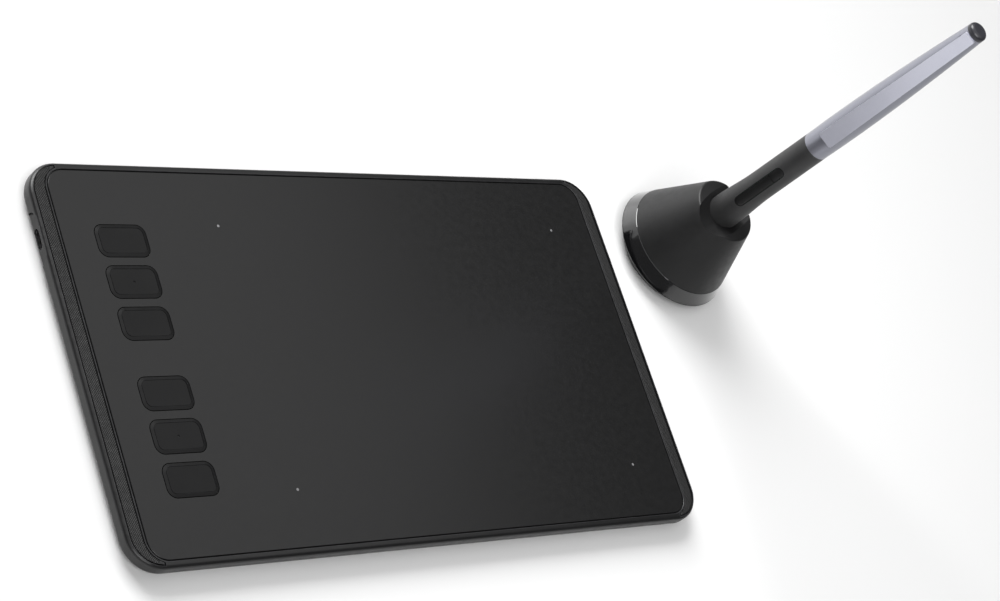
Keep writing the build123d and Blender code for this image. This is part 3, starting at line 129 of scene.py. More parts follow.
class Graph:
    """The nodes of one material, with short calls that add and join them."""

    def __init__(self, name: str) -> None:
        """Starts a material with a Principled shader and the Object coordinates.

        Args:
            name: The material's name.
        """
        self.material = bpy.data.materials.new(name)
        self.material.use_nodes = True
        self.tree = self.material.node_tree
        self.tree.nodes.clear()
        self.shader = self.add("ShaderNodeBsdfPrincipled")
        output = self.add("ShaderNodeOutputMaterial")
        self.feed(output.inputs["Surface"], self.shader.outputs["BSDF"])
        self.place = self.add("ShaderNodeTexCoord").outputs["Object"]

    def add(self, kind: str, **settings: object) -> bpy.types.Node:
        """Adds a node.

        Args:
            kind: The node's type.
            settings: Its properties.

        Returns:
            The new node.
        """
        node = self.tree.nodes.new(kind)
        for name, value in settings.items():
            setattr(node, name, value)
        return node

    def feed(self, socket: Socket, value: object) -> None:
        """Joins an input to an output, or sets it to a plain value.

        Args:
            socket: The input.
            value: The output that feeds it, or a number, colour or vector.
        """
        if isinstance(value, Socket):
            self.tree.links.new(value, socket)
        else:
            socket.default_value = value

    def stretched(self, stretch: Triple) -> Socket:
        """The Object coordinates, scaled on each axis.

        Args:
            stretch: The three factors.

        Returns:
            The scaled coordinates.
        """
        mapping = self.add("ShaderNodeMapping")
        self.feed(mapping.inputs["Vector"], self.place)
        self.feed(mapping.inputs["Scale"], stretch)
        return mapping.outputs["Vector"]

    def noise(self, size: float, detail: float = 2.0, stretch: Triple = (1, 1, 1)) -> Socket:
        """Soft noise.

        Args:
            size: Size of its features, in metres.
            detail: How many finer layers it has.
            stretch: Scale of the coordinates on each axis.

        Returns:
            The noise, from 0 to 1.
        """
        node = self.add("ShaderNodeTexNoise")
        self.feed(node.inputs["Vector"], self.stretched(stretch))
        self.feed(node.inputs["Scale"], 1 / size)
        self.feed(node.inputs["Detail"], detail)
        return node.outputs["Fac"]

    def cells(self, size: float, output: str) -> Socket:
        """Cells that touch each other.

        Args:
            size: Size of a cell, in metres.
            output: "Distance" for the way to a cell's middle, or "Color" for its random colour.

        Returns:
            The chosen output.
        """
        node = self.add("ShaderNodeTexVoronoi")
        self.feed(node.inputs["Vector"], self.place)
        self.feed(node.inputs["Scale"], 1 / size)
        return node.outputs[output]

    def calculate(self, operation: str, first: object, second: object) -> Socket:
        """The result of a Math node.

        Args:
            operation: The node's operation.
            first: A value or an output.
            second: A value or an output.

        Returns:
            The result.
        """
        node = self.add("ShaderNodeMath", operation=operation)
        self.feed(node.inputs[0], first)
        self.feed(node.inputs[1], second)
        return node.outputs["Value"]

    def remap(self, value: object, source: Span, target: Span = FULL) -> Socket:
        """A value carried from one range to another and kept inside it.

        Args:
            value: The socket to carry over.
            source: The range that it comes from.
            target: The range that it goes to.

        Returns:
            The new value.
        """
        node = self.add("ShaderNodeMapRange")
        names = ("Value", "From Min", "From Max", "To Min", "To Max")
        for name, number in zip(names, (value, *source, *target)):
            self.feed(node.inputs[name], number)
        return node.outputs["Result"]

    def mix(self, factor: object, low: object, high: object) -> Socket:
        """A colour between two others.

        Args:
            factor: How far it is from the first to the second.
            low: The first colour.
            high: The second colour.

        Returns:
            The mixed colour.
        """
        node = self.add("ShaderNodeMix", data_type="RGBA")
        self.feed(node.inputs["Factor"], factor)
        self.feed(node.inputs[6], low)
        self.feed(node.inputs[7], high)
        return node.outputs[2]

    def axis(self, number: int) -> Socket:
        """One of the Object coordinates.

        Args:
            number: 0 for X, 1 for Y and 2 for Z.

        Returns:
            The coordinate, in metres.
        """
        split = self.add("ShaderNodeSeparateXYZ")
        self.feed(split.inputs[0], self.place)
        return split.outputs[number]

    def lines(self, axis: int, pitch: float, share: float) -> Socket:
        """Parallel lines.

        Args:
            axis: The axis that they follow each other along.
            pitch: From one line to the next, in metres.
            share: The share of the pitch that a line takes.

        Returns:
            1 on a line and 0 beside it, with soft sides.
        """
        turns = self.calculate("MULTIPLY", self.axis(axis), math.tau / pitch)
        wave = self.calculate("COSINE", turns, 0.0)
        edge = math.cos(math.pi * share)
        return self.remap(wave, (edge - LINE_SOFTNESS, edge + LINE_SOFTNESS))

    def edges(self, radius: float) -> Socket:
        """Where the surface turns sharply.

        Args:
            radius: How far from an edge it reaches, in metres.

        Returns:
            1 along sharp edges and 0 on plain faces.
        """
        bevel = self.add("ShaderNodeBevel", samples=EDGE_SAMPLES)
        self.feed(bevel.inputs["Radius"], radius)
        normal = self.add("ShaderNodeNewGeometry").outputs["Normal"]
        dot = self.add("ShaderNodeVectorMath", operation="DOT_PRODUCT")
        self.feed(dot.inputs[0], bevel.outputs["Normal"])
        self.feed(dot.inputs[1], normal)
        return self.remap(dot.outputs["Value"], EDGE_BAND)

    def bump(self, height: Socket, depth: float) -> None:
        """Gives the shader a relief.

        Args:
            height: The height of the surface, from 0 to 1.
            depth: The depth of the relief, in metres.
        """
        node = self.add("ShaderNodeBump")
        self.feed(node.inputs["Distance"], depth)
        self.feed(node.inputs["Height"], height)
        self.feed(self.shader.inputs["Normal"], node.outputs["Normal"])


@dataclass(frozen=True)
class Finish:
    """A finish: its colour, its gloss and the relief of its surface.

    Attributes:
        colour: The main colour.
        roughness: The mean roughness.
        relief: What the surface is like close to.
        grain: Size of the relief's features, in metres.
        depth: Depth of the relief, in metres.
        second: The colour that the relief brings in, or None for a lighter main colour.
        tint: How far the colour strays, as a share of it.
        edge_wear_and_highlight: How much lighter sharp edges are, from real wear on most finishes and as a
            painted highlight on the housing.
        edge: How wide those lighter edges are, in metres.
        mottle: How far the roughness strays.
        metallic: The share of metal.
        specular: The strength of the plain reflection.
        coat: The weight of a clear coat.
        coat_roughness: The roughness of that coat.
        sheen: The weight of a dusty sheen.
    """

    colour: Triple
    roughness: float
    relief: Relief = Relief.SPARK
    grain: float = 0.35 * MM
    depth: float = 0.012 * MM
    second: Triple | None = None
    tint: float = 0.18
    edge_wear_and_highlight: float = 1.8
    edge: float = 0.22 * MM
    mottle: float = 0.04
    metallic: float = 0.0
    specular: float = 0.5
    coat: float = 0.0
    coat_roughness: float = 0.1
    sheen: float = 0.0

    def grained(self, graph: Graph) -> tuple[Socket, Socket]:
        """Fine grain with small pits, for moulded and lacquered plastic.

        Args:
            graph: The material that the nodes go into.

        Returns:
            The height of the surface, and how much of the second colour shows.
        """
        fine = graph.noise(self.grain, FINE_DETAIL)
        holes = graph.cells(PIT_FACTOR * self.grain, "Distance")
        pits = graph.calculate("MULTIPLY", holes, PIT_WEIGHT)
        return graph.calculate("ADD", pits, fine), graph.remap(fine, GRAIN_BAND)

    def polished(self, graph: Graph) -> tuple[Socket, Socket]:
        """A smooth face with faint hairlines."""
        hairs = graph.noise(HAIR_SIZE, stretch=HAIR_STRETCH)
        return graph.noise(WAVE_SIZE, 1.0), graph.remap(hairs, HAIR_BAND)

    def brushed(self, graph: Graph) -> tuple[Socket, Socket]:
        """Long scratches along Y."""
        drawn = graph.noise(self.grain, SOFT_DETAIL, BRUSH_STRETCH)
        return drawn, drawn

    def porous(self, graph: Graph) -> tuple[Socket, Socket]:
        """Open pores in a fine grain."""
        pores = graph.remap(graph.cells(self.grain, "Distance"), PORE_BAND)
        return graph.calculate("MULTIPLY", pores, graph.noise(self.grain, FINE_DETAIL)), pores

    def flaked(self, graph: Graph) -> tuple[Socket, Socket]:
        """Flakes that each have their own tone."""
        flakes = graph.cells(self.grain, "Color")
        return graph.noise(self.grain, FINE_DETAIL), graph.remap(flakes, FLAKE_BAND)

    def traced(self, graph: Graph) -> tuple[Socket, Socket]:
        """Copper traces in both directions, in some zones of a board.

        Args:
            graph: The material that the nodes go into.

        Returns:
            The height of the surface, and how much of the second colour shows.
        """
        long_traces = graph.lines(0, LONG_TRACE_FACTOR * self.grain, LONG_TRACE_SHARE)
        cross_traces = graph.lines(1, CROSS_TRACE_FACTOR * self.grain, CROSS_TRACE_SHARE)
        everywhere = graph.calculate("MAXIMUM", long_traces, cross_traces)
        zones = graph.remap(graph.noise(TRACE_ZONE, 0.0), ZONE_BAND)
        traces = graph.calculate("MULTIPLY", everywhere, zones)
        return traces, traces

    def gridded(self, graph: Graph) -> tuple[Socket, Socket]:
        """The aerial's two crossed sets of conductors."""
        grid = graph.calculate("MAXIMUM", *(graph.lines(axis, AERIAL_PITCH, AERIAL_SHARE) for axis in (0, 1)))
        return grid, grid

    def wound(self, graph: Graph) -> tuple[Socket, Socket]:
        """Turn above turn of wire."""
        turns = graph.lines(2, self.grain, WIRE_SHARE)
        return turns, turns

    def striped(self, graph: Graph) -> tuple[Socket, Socket]:
        """Conductors side by side."""
        stripes = graph.lines(1, self.grain, STRIPE_SHARE)
        return stripes, stripes

    def knurled(self, graph: Graph) -> tuple[Socket, Socket]:
        """Fine grain, with the lighter second colour on the crests of the strip's mesh alone: a painted
        highlight, with painted shade in the hollows.

        Args:
            graph: The material that the nodes go into.

        Returns:
            The height of the surface, and how much of the second colour shows.
        """
        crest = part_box("left_trim_strip")[1].z
        # The crests of the mesh, by height, take the lighter colour: a painted highlight.
        height = graph.remap(graph.axis(2), (crest - CREST_HIGHLIGHT_REACH, crest))
        return graph.noise(self.grain, FINE_DETAIL), height

    def pattern(self, graph: Graph) -> tuple[Socket, Socket]:
        """The relief's nodes.

        Args:
            graph: The material that they go into.

        Returns:
            The height of the surface, and how much of the second colour shows.
        """
        makers = {
            Relief.POLISHED: self.polished,
            Relief.BRUSHED: self.brushed,
            Relief.PORES: self.porous,
            Relief.FLAKES: self.flaked,
            Relief.TRACES: self.traced,
            Relief.GRID: self.gridded,
            Relief.WIRE: self.wound,
            Relief.STRIPES: self.striped,
            Relief.KNURL: self.knurled,
        }
        return makers.get(self.relief, self.grained)(graph)

    def material(self, name: str) -> bpy.types.Material:
        """Builds the material.

        Args:
            name: The material's name.

        Returns:
            A material whose colour, roughness and relief come from nodes.
        """
        graph = Graph(name)
        inputs = graph.shader.inputs
        constants = {
            "Metallic": self.metallic,
            "Specular IOR Level": self.specular,
            "Coat Weight": self.coat,
            "Coat Roughness": self.coat_roughness,
            "Sheen Weight": self.sheen,
        }
        for socket, number in constants.items():
            inputs[socket].default_value = number
        height, share = self.pattern(graph)
        second = self.second or tuple(min(1.0, part * (1 + self.tint)) for part in self.colour)
        base = graph.mix(share, shade(self.colour, 1.0), shade(second, 1.0))
        stray = (1 - self.tint, 1 + self.tint)
        cloud = graph.remap(graph.noise(CLOUD_SIZE, SOFT_DETAIL), NOISE_BAND, stray)
        clouded = graph.add("ShaderNodeVectorMath", operation="SCALE")
        graph.feed(clouded.inputs[0], base)
        graph.feed(clouded.inputs["Scale"], cloud)
        # Sharp edges are drawn lighter by the edge factor: real wear on most finishes, a painted highlight
        # along the housing's lip and edges.
        edge_patches = graph.remap(graph.noise(EDGE_PATCH_SIZE, SOFT_DETAIL), NOISE_BAND, EDGE_PATCH_SHARE)
        worn_and_highlit_edges = graph.calculate("MULTIPLY", graph.edges(self.edge), edge_patches)
        colour = graph.mix(worn_and_highlit_edges, clouded.outputs[0], shade(self.colour, self.edge_wear_and_highlight))
        graph.feed(inputs["Base Color"], colour)
        span = (self.roughness - self.mottle, self.roughness + self.mottle)
        matt = graph.remap(graph.noise(MOTTLE_SIZE, SOFT_DETAIL), NOISE_BAND, span)
        worn = graph.calculate("MULTIPLY", worn_and_highlit_edges, WORN_GLOSS * self.roughness)
        graph.feed(inputs["Roughness"], graph.calculate("ADD", matt, worn))
        graph.bump(height, self.depth)
        return graph.material


FINISHES: dict[str, Finish] = {
    # The housing's edges are drawn 16 times lighter: a painted highlight along the lip's rounded edge and the
    # housing's other sharp edges.
    "housing": Finish((0.0045, 0.0045, 0.0048), 0.38, edge_wear_and_highlight=16.0, edge=0.35 * MM),
    "cover": Finish((0.0045, 0.0045, 0.0048), 0.52),
    "sheet": Finish((0.005, 0.005, 0.0052), 0.36, Relief.TOOTH, 0.14 * MM, 0.0015 * MM, tint=0.03),
    "mark": Finish((0.17, 0.17, 0.175), 0.35, grain=0.1 * MM, depth=0.002 * MM),
    # The strips' crests take the lighter second colour by height, a painted highlight that leaves painted
    # shade in the hollows; their sharp edges are drawn eight times lighter.
    "trim": Finish(
        (0.001, 0.001, 0.001), 0.45, Relief.KNURL, 0.1 * MM, 0.003 * MM, (0.03, 0.03, 0.0305),
        edge_wear_and_highlight=8.0, edge=0.06 * MM, specular=0.2
    ),
    "key": Finish(
        (0.0042, 0.0042, 0.0044), 0.4, Relief.SOFT, 0.25 * MM, 0.004 * MM, edge_wear_and_highlight=2.4, specular=0.24
    ),
    "plunger": Finish((0.55, 0.55, 0.52), 0.4, grain=0.2 * MM),
    "foot_rubber": Finish((0.012, 0.012, 0.012), 0.8, Relief.PORES, 0.4 * MM, 0.02 * MM, sheen=0.15),
    "adhesive": Finish((0.62, 0.61, 0.55), 0.3, Relief.POLISHED, depth=0.01 * MM, tint=0.05),
    "circuit_board": Finish(
        (0.004, 0.045, 0.02), 0.3, Relief.TRACES, 0.25 * MM, 0.02 * MM, (0.02, 0.13, 0.05), coat=0.4
    ),
    "aerial_board": Finish(
        (0.004, 0.045, 0.02), 0.3, Relief.GRID, 0.3 * MM, 0.02 * MM, (0.03, 0.15, 0.06), coat=0.4
    ),
    "screen_steel": Finish(
        (0.5, 0.5, 0.5), 0.36, Relief.BRUSHED, 0.15 * MM, 0.003 * MM, metallic=1.0, edge_wear_and_highlight=1.2
    ),
    "chip": Finish((0.01, 0.01, 0.01), 0.4, Relief.PORES, 0.12 * MM, 0.004 * MM),
    "screw_steel": Finish(
        (0.42, 0.42, 0.44), 0.3, Relief.BRUSHED, 0.08 * MM, 0.003 * MM, metallic=1.0, edge_wear_and_highlight=1.3
    ),
    "flat_lead": Finish(
        (0.42, 0.13, 0.012), 0.25, Relief.STRIPES, 0.8 * MM, 0.02 * MM, (0.62, 0.26, 0.05), coat=0.5
    ),
    "switch": Finish((0.02, 0.02, 0.02), 0.42, grain=0.15 * MM, depth=0.005 * MM),
    "socket_metal": Finish(
        (0.5, 0.5, 0.52), 0.28, Relief.BRUSHED, 0.1 * MM, 0.003 * MM, metallic=1.0, edge_wear_and_highlight=1.3
    ),
    "contact_gold": Finish(
        (0.85, 0.55, 0.18), 0.22, Relief.BRUSHED, 0.06 * MM, 0.002 * MM, metallic=1.0, edge_wear_and_highlight=1.1
    ),
    "socket_tongue": Finish((0.012, 0.012, 0.012), 0.45, grain=0.1 * MM, depth=0.004 * MM),
    "stand_shell": Finish((0.0045, 0.0045, 0.0048), 0.48, grain=0.4 * MM, depth=0.012 * MM),
    "gloss_band": Finish(
        (0.004, 0.004, 0.0045), 0.08, Relief.POLISHED, depth=0.006 * MM, tint=0.1,
        coat=1.0, coat_roughness=0.03
    ),
    "weight_steel": Finish(
        (0.16, 0.16, 0.16), 0.5, Relief.PORES, 0.5 * MM, 0.03 * MM, metallic=0.9, edge_wear_and_highlight=1.6
    ),
    "inner_plastic": Finish((0.03, 0.03, 0.03), 0.5),
    "nib_plastic": Finish((0.013, 0.013, 0.013), 0.35, Relief.SOFT, 0.15 * MM, 0.004 * MM),
    "grip_shell": Finish((0.019, 0.019, 0.0195), 0.56, Relief.SOFT, 0.3 * MM, 0.008 * MM, sheen=0.05),
    # The clip's silver and the barrel's are lighter and darker copies of one silver: a painted highlight on
    # the clip, painted shade on the barrel.
    "silver_shell": Finish(
        (0.61, 0.618, 0.71), 0.3, Relief.FLAKES, 0.3 * MM, 0.0001 * MM, (0.63, 0.638, 0.73),
        tint=0.02, edge_wear_and_highlight=1.08, mottle=0.005, metallic=0.5, coat=0.2, coat_roughness=0.2
    ),
    "painted_shade_barrel_silver": Finish(
        (0.24, 0.244, 0.284), 0.3, Relief.FLAKES, 0.3 * MM, 0.0001 * MM, (0.252, 0.256, 0.298),
        tint=0.02, edge_wear_and_highlight=1.08, mottle=0.005, metallic=0.5, coat=0.2, coat_roughness=0.2
    ),
    "cap_plastic": Finish((0.02, 0.02, 0.025), 0.3, Relief.SOFT, 0.2 * MM, 0.003 * MM),
    "rocker_plastic": Finish((0.007, 0.007, 0.0072), 0.34, Relief.SOFT, 0.2 * MM, 0.004 * MM),
    "ferrite": Finish((0.02, 0.02, 0.022), 0.6, Relief.PORES, 0.15 * MM, 0.01 * MM),
    "winding": Finish(
        (0.25, 0.07, 0.02), 0.25, Relief.WIRE, 0.24 * MM, 0.08 * MM, (0.72, 0.3, 0.12),
        metallic=0.8, coat=0.6
    ),
    "capacitor": Finish((0.3, 0.19, 0.09), 0.45, grain=0.1 * MM, depth=0.003 * MM),
    "tinned": Finish((0.62, 0.62, 0.6), 0.35, Relief.PORES, 0.1 * MM, 0.004 * MM, metallic=1.0, edge_wear_and_highlight=1.1),
    "sensor_metal": Finish(
        (0.45, 0.45, 0.45), 0.3, Relief.BRUSHED, 0.1 * MM, 0.003 * MM, metallic=1.0, edge_wear_and_highlight=1.2
    ),
}

# Nodes whose finish isn't the one of their slot; the rear barrel takes the darker copy of the pen's silver,
# painted shade
NODE_FINISHES: dict[str, str] = {"sensor_board": "aerial_board", "pen_rear_barrel": "painted_shade_barrel_silver"}


class Paintbox:
    """The materials made so far, one for each finish."""

    def __init__(self) -> None:
        """Starts with no material."""
        self.made: dict[str, bpy.types.Material] = {}

    def get(self, name: str) -> bpy.types.Material:
        """The material of a finish, made when it is first asked for.

        Args:
            name: The finish.

        Returns:
            Its material.
        """
        if name not in self.made:
            self.made[name] = FINISHES[name].material(name)
        return self.made[name]

    def dress(self, piece: Piece, name: str) -> None:
        """Gives the whole piece one finish."""
        piece.data.materials.clear()
        piece.data.materials.append(self.get(name))

    def dress_nodes(self) -> None:
        """Gives every CAD node the finish of its slot, or its own."""
        for part in frame["record"]["subparts"]:
            node = part["node"]
            finish = NODE_FINISHES.get(node, part["material_slot"])
            self.dress(frame["nodes"][node], finish)
            LOG.info("dressed %s as %s", node, finish)


def finished(mesh: bmesh.types.BMesh, name: str) -> Piece:
    """Turns a bmesh into an object that sits at the origin.

    Args:
        mesh: The bmesh, in place in the shared frame. It is freed.
        name: The piece's name.

    Returns:
        The new object.
    """
    bmesh.ops.recalc_face_normals(mesh, faces=mesh.faces)
    data = bpy.data.meshes.new(name)
    mesh.to_mesh(data)
    mesh.free()
    data.shade_smooth()
    data.set_sharp_from_angle(angle=SHARP_FROM)
    piece = bpy.data.objects.new(name, data)
    bpy.context.scene.collection.objects.link(piece)
    return piece


def merged_copy(node: str) -> bmesh.types.BMesh:
    """A copy of a CAD node's mesh with its loose triangles joined.

    Args:
        node: The CAD node.

    Returns:
        The copy, as a bmesh.
    """
    mesh = bmesh.new()
    mesh.from_mesh(frame["nodes"][node].data)
    bmesh.ops.remove_doubles(mesh, verts=mesh.verts, dist=MERGE)
    return mesh


def block(mesh: bmesh.types.BMesh, low: Vector, high: Vector) -> None:
    """Adds a block to a bmesh.

    Args:
        mesh: The bmesh.
        low: The block's lowest corner.
        high: Its highest corner.
    """
    place = Matrix.LocRotScale((low + high) / 2, None, high - low)
    bmesh.ops.create_cube(mesh, size=1.0, matrix=place)


def turned(mesh: bmesh.types.BMesh, profile: list[Point], place: Vector, steps: int) -> None:
    """Adds a turned solid to a bmesh.

    Args:
        mesh: The bmesh.
        profile: Radius and height of each point, in order round the section.
        place: The foot of its upright axis.
        steps: How many segments the turn has.
    """
    verts = [mesh.verts.new(place + Vector((radius, 0, height))) for radius, height in profile]
    edges = [mesh.edges.new(pair) for pair in zip(verts, verts[1:] + verts[:1])]
    if profile[0][0] == 0.0:
        mesh.edges.remove(edges.pop())
    bmesh.ops.spin(
        mesh, geom=verts + edges, cent=place, axis=(0, 0, 1), angle=math.tau, steps=steps, use_merge=True
    )
    bmesh.ops.remove_doubles(mesh, verts=mesh.verts, dist=MERGE)


def carve(piece: Piece, tool: Piece, operation: str, overlaps: bool = False) -> None:
    """Applies a Boolean to the piece and removes the tool.

    Args:
        piece: The piece that keeps the result.
        tool: The closed solid that cuts it.
        operation: The name of the Boolean's operation.
        overlaps: Whether parts of the tool overlap each other.
    """
    cut = piece.modifiers.new("carve", "BOOLEAN")
    cut.operation = operation
    cut.solver = "EXACT"
    cut.use_self = overlaps
    cut.object = tool
    bpy.context.view_layer.update()
    evaluated = piece.evaluated_get(bpy.context.evaluated_depsgraph_get())
    data = bpy.data.meshes.new_from_object(evaluated)
    piece.modifiers.clear()
    piece.data = data
    bpy.data.objects.remove(tool)


def even_count(length: float, step: float) -> int:
    """An even number of steps that covers a length and goes past both of its ends."""
    return 2 * math.ceil(length / step / 2) + 2


@dataclass(frozen=True)
class TrimStrips:
    """The two strips in the short sides, with a raised diamond mesh and smooth ends."""

    pitch: float = 0.62 * MM
    height: float = 0.2 * MM
    smooth_end: float = 1.6 * MM
    over: float = 0.4 * MM
    gap: float = 0.15 * MM

    def lattice(self, node: str, name: str) -> Piece:
        """A thick plate of small pyramids that covers the strip's box.

        Args:
            node: The CAD node of the strip.
            name: The piece's name.

        Returns:
            The plate, closed on all sides.
        """
        low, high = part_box(node)
        middle = (low + high) / 2
        step = self.pitch / math.sqrt(2)
        columns = even_count(high.x - low.x, step)
        rows = even_count(high.y - low.y, step)
        mesh = bmesh.new()
        crest = Vector((middle.x, middle.y, high.z))
        place = Matrix.LocRotScale(crest, None, Vector((columns * step, rows * step, 1)))
        bmesh.ops.create_grid(mesh, x_segments=columns, y_segments=rows, size=0.5, matrix=place)
        tip_x = low.x if middle.x > 0 else high.x
        valleys = []
        for vert in mesh.verts:
            steps = round((vert.co.x - middle.x) / step) + round((vert.co.y - middle.y) / step)
            if steps % 2:
                valleys.append(vert)
                if abs(vert.co.x - tip_x) > self.smooth_end:
                    vert.co.z -= self.height
        bmesh.ops.connect_verts(mesh, verts=valleys)
        under = bmesh.ops.extrude_face_region(mesh, geom=mesh.faces[:])["geom"]
        for vert in under:
            if isinstance(vert, bmesh.types.BMVert):
                vert.co.z = low.z - self.over
        return finished(mesh, name)

    def outline(self, node: str) -> Piece:
        """A copy of the strip's solid, narrower by the gap and reaching a little above the plate.

        Args:
            node: The CAD node of the strip.

        Returns:
            The closed solid.
        """
        low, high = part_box(node)
        mesh = merged_copy(node)
        for vert in mesh.verts:
            vert.co -= self.gap * Vector((*vert.normal.xy, 0)).normalized()
            if vert.co.z > (low.z + high.z) / 2:
                vert.co.z += self.over
        return finished(mesh, node + "_outline")

    def strip(self, node: str, name: str) -> Piece:
        """Cuts the plate to the strip's outline.

        Args:
            node: The CAD node of the strip.
            name: The piece's name.

        Returns:
            The finished strip.
        """
        piece = self.lattice(node, name)
        carve(piece, self.outline(node), "INTERSECT")
        return piece

    def build(self, paints: Paintbox) -> list[Piece]:
        """Builds both strips and puts them in place of their CAD nodes.

        Args:
            paints: The materials.

        Returns:
            The two pieces.
        """
        strips = []
        for side in ("left", "right"):
            node = side + "_trim_strip"
            piece = self.strip(node, side + "_knurled_strip")
            paints.dress(piece, "trim")
            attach(piece, "root")
            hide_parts(node)
            strips.append(piece)
        return strips


@dataclass(frozen=True)
class PortContacts:
    """The gilded contacts on both faces of the port's tongue."""

    count: int = 5
    pitch: float = 0.75 * MM
    width: float = 0.38 * MM
    length: float = 2.5 * MM
    inset: float = 0.2 * MM
    sunk: float = 0.02 * MM
    proud: float = 0.02 * MM
    tongue_half: float = 0.3 * MM

    def build(self, paints: Paintbox) -> list[Piece]:
        """Builds all contacts as one piece on the tongue.

        Args:
            paints: The materials.

        Returns:
            The piece, in a list.
        """
        low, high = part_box("usb_tongue")
        middle = (low + high) / 2
        start = low.x + self.inset
        mesh = bmesh.new()
        for number in range(self.count):
            y = middle.y + (number - (self.count - 1) / 2) * self.pitch
            for side in (-1, 1):
                near = middle.z + side * (self.tongue_half - self.sunk)
                far = middle.z + side * (self.tongue_half + self.proud)
                corner = Vector((start, y - self.width / 2, min(near, far)))
                opposite = Vector((start + self.length, y + self.width / 2, max(near, far)))
                block(mesh, corner, opposite)
        piece = finished(mesh, "port_contacts")
        paints.dress(piece, "contact_gold")
        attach(piece, "root")
        return [piece]


@dataclass(frozen=True)
class Screws:
    """Self-tapping screws with a crossed recess and a thread, heads down."""

    node: str
    name: str
    head_height: float
    single_left: bool
    head_radius: float = 1.89 * MM
    thread_radius: float = 0.94 * MM
    thread_depth: float = 0.2 * MM
    thread_pitch: float = 0.5 * MM
    tip_length: float = 0.35 * MM
    tip_radius: float = 0.45 * MM
    head_round: float = 0.12 * MM
    recess_depth: float = 0.3 * MM
    recess_arm: float = 2.1 * MM
    recess_width: float = 0.45 * MM
    steps: int = 32

    def places(self) -> list[Vector]:
        """Two screws on the right, and one or two on the left.

        Returns:
            The foot of each screw's axis.
        """
        low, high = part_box(self.node)
        right = high.x - self.head_radius
        left = low.x + self.head_radius
        rows = (low.y + self.head_radius, high.y - self.head_radius)
        left_rows = ((low.y + high.y) / 2,) if self.single_left else rows
        spots = [(right, y) for y in rows] + [(left, y) for y in left_rows]
        return [Vector((x, y, low.z)) for x, y in spots]

    def profile(self, length: float) -> list[Point]:
        """The screw's outline from the middle of its head to its tip.

        Args:
            length: The whole length of the screw.

        Returns:
            Radius and height of each point.
        """
        root = self.thread_radius - self.thread_depth
        points = [
            (0.0, 0.0),
            (self.head_radius - self.head_round, 0.0),
            (self.head_radius, self.head_round),
            (self.head_radius, self.head_height),
            (root, self.head_height),
        ]
        turns = int((length - self.head_height - self.tip_length) / self.thread_pitch)
        for turn in range(turns):
            foot = self.head_height + turn * self.thread_pitch
            points.append((self.thread_radius, foot + self.thread_pitch / 2))
            points.append((root, foot + self.thread_pitch))
        points.append((self.tip_radius, length))
        points.append((0.0, length))
        return points

    def recess(self, places: list[Vector]) -> Piece:
        """Crossed blocks that cut the recess of every head.

        Args:
            places: The foot of each screw's axis.

        Returns:
            The blocks, as one object.
        """
        mesh = bmesh.new()
        arms = ((self.recess_arm, self.recess_width), (self.recess_width, self.recess_arm))
        for place in places:
            for long_x, long_y in arms:
                reach = Vector((long_x / 2, long_y / 2, self.recess_depth))
                block(mesh, place - reach, place + reach)
        return finished(mesh, self.name + "_recess")

    def build(self, paints: Paintbox) -> list[Piece]:
        """Builds the set and puts it in place of its CAD node.

        Args:
            paints: The materials.

        Returns:
            The piece, in a list.
        """
        low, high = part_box(self.node)
        places = self.places()
        mesh = bmesh.new()
        for place in places:
            turned(mesh, self.profile(high.z - low.z), place, self.steps)
        piece = finished(mesh, self.name)
        carve(piece, self.recess(places), "DIFFERENCE", overlaps=True)
        paints.dress(piece, "screw_steel")
        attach(piece, "root")
        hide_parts(self.node)
        return [piece]


@dataclass(frozen=True)
class PenCoil:
    """The pen's coil, turn beside turn of enamelled wire."""

    wire: float = 0.24 * MM
    bore: float = 2.25 * MM
    steps: int = 28

    def profile(self, crown: float, length: float) -> list[Point]:
        """The coil's section, with a flat crown and sloping flanks on each turn of wire.

        Args:
            crown: The coil's outer radius.
            length: Its length.

        Returns:
            Radius and height of each point.
        """
        flank = crown - self.wire / 2
        points = [(self.bore, length), (self.bore, 0.0)]
        for turn in range(round(length / self.wire)):
            start = turn * self.wire
            points.append((flank, start))
            points.append((crown, start + self.wire / 4))
            points.append((crown, start + self.wire * 3 / 4))
        points.append((flank, length))
        return points

    def build(self, paints: Paintbox) -> list[Piece]:
        """Builds the coil and puts it in place of its CAD node.

        Args:
            paints: The materials.

        Returns:
            The piece, in a list.
        """
        low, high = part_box("pen_coil")
        foot = Vector(((low.x + high.x) / 2, (low.y + high.y) / 2, low.z))
        mesh = bmesh.new()
        turned(mesh, self.profile((high.x - low.x) / 2, high.z - low.z), foot, self.steps)
        piece = finished(mesh, "wound_coil")
        paints.dress(piece, "winding")
        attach(piece, "pen")
        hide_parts("pen_coil")
        return [piece]


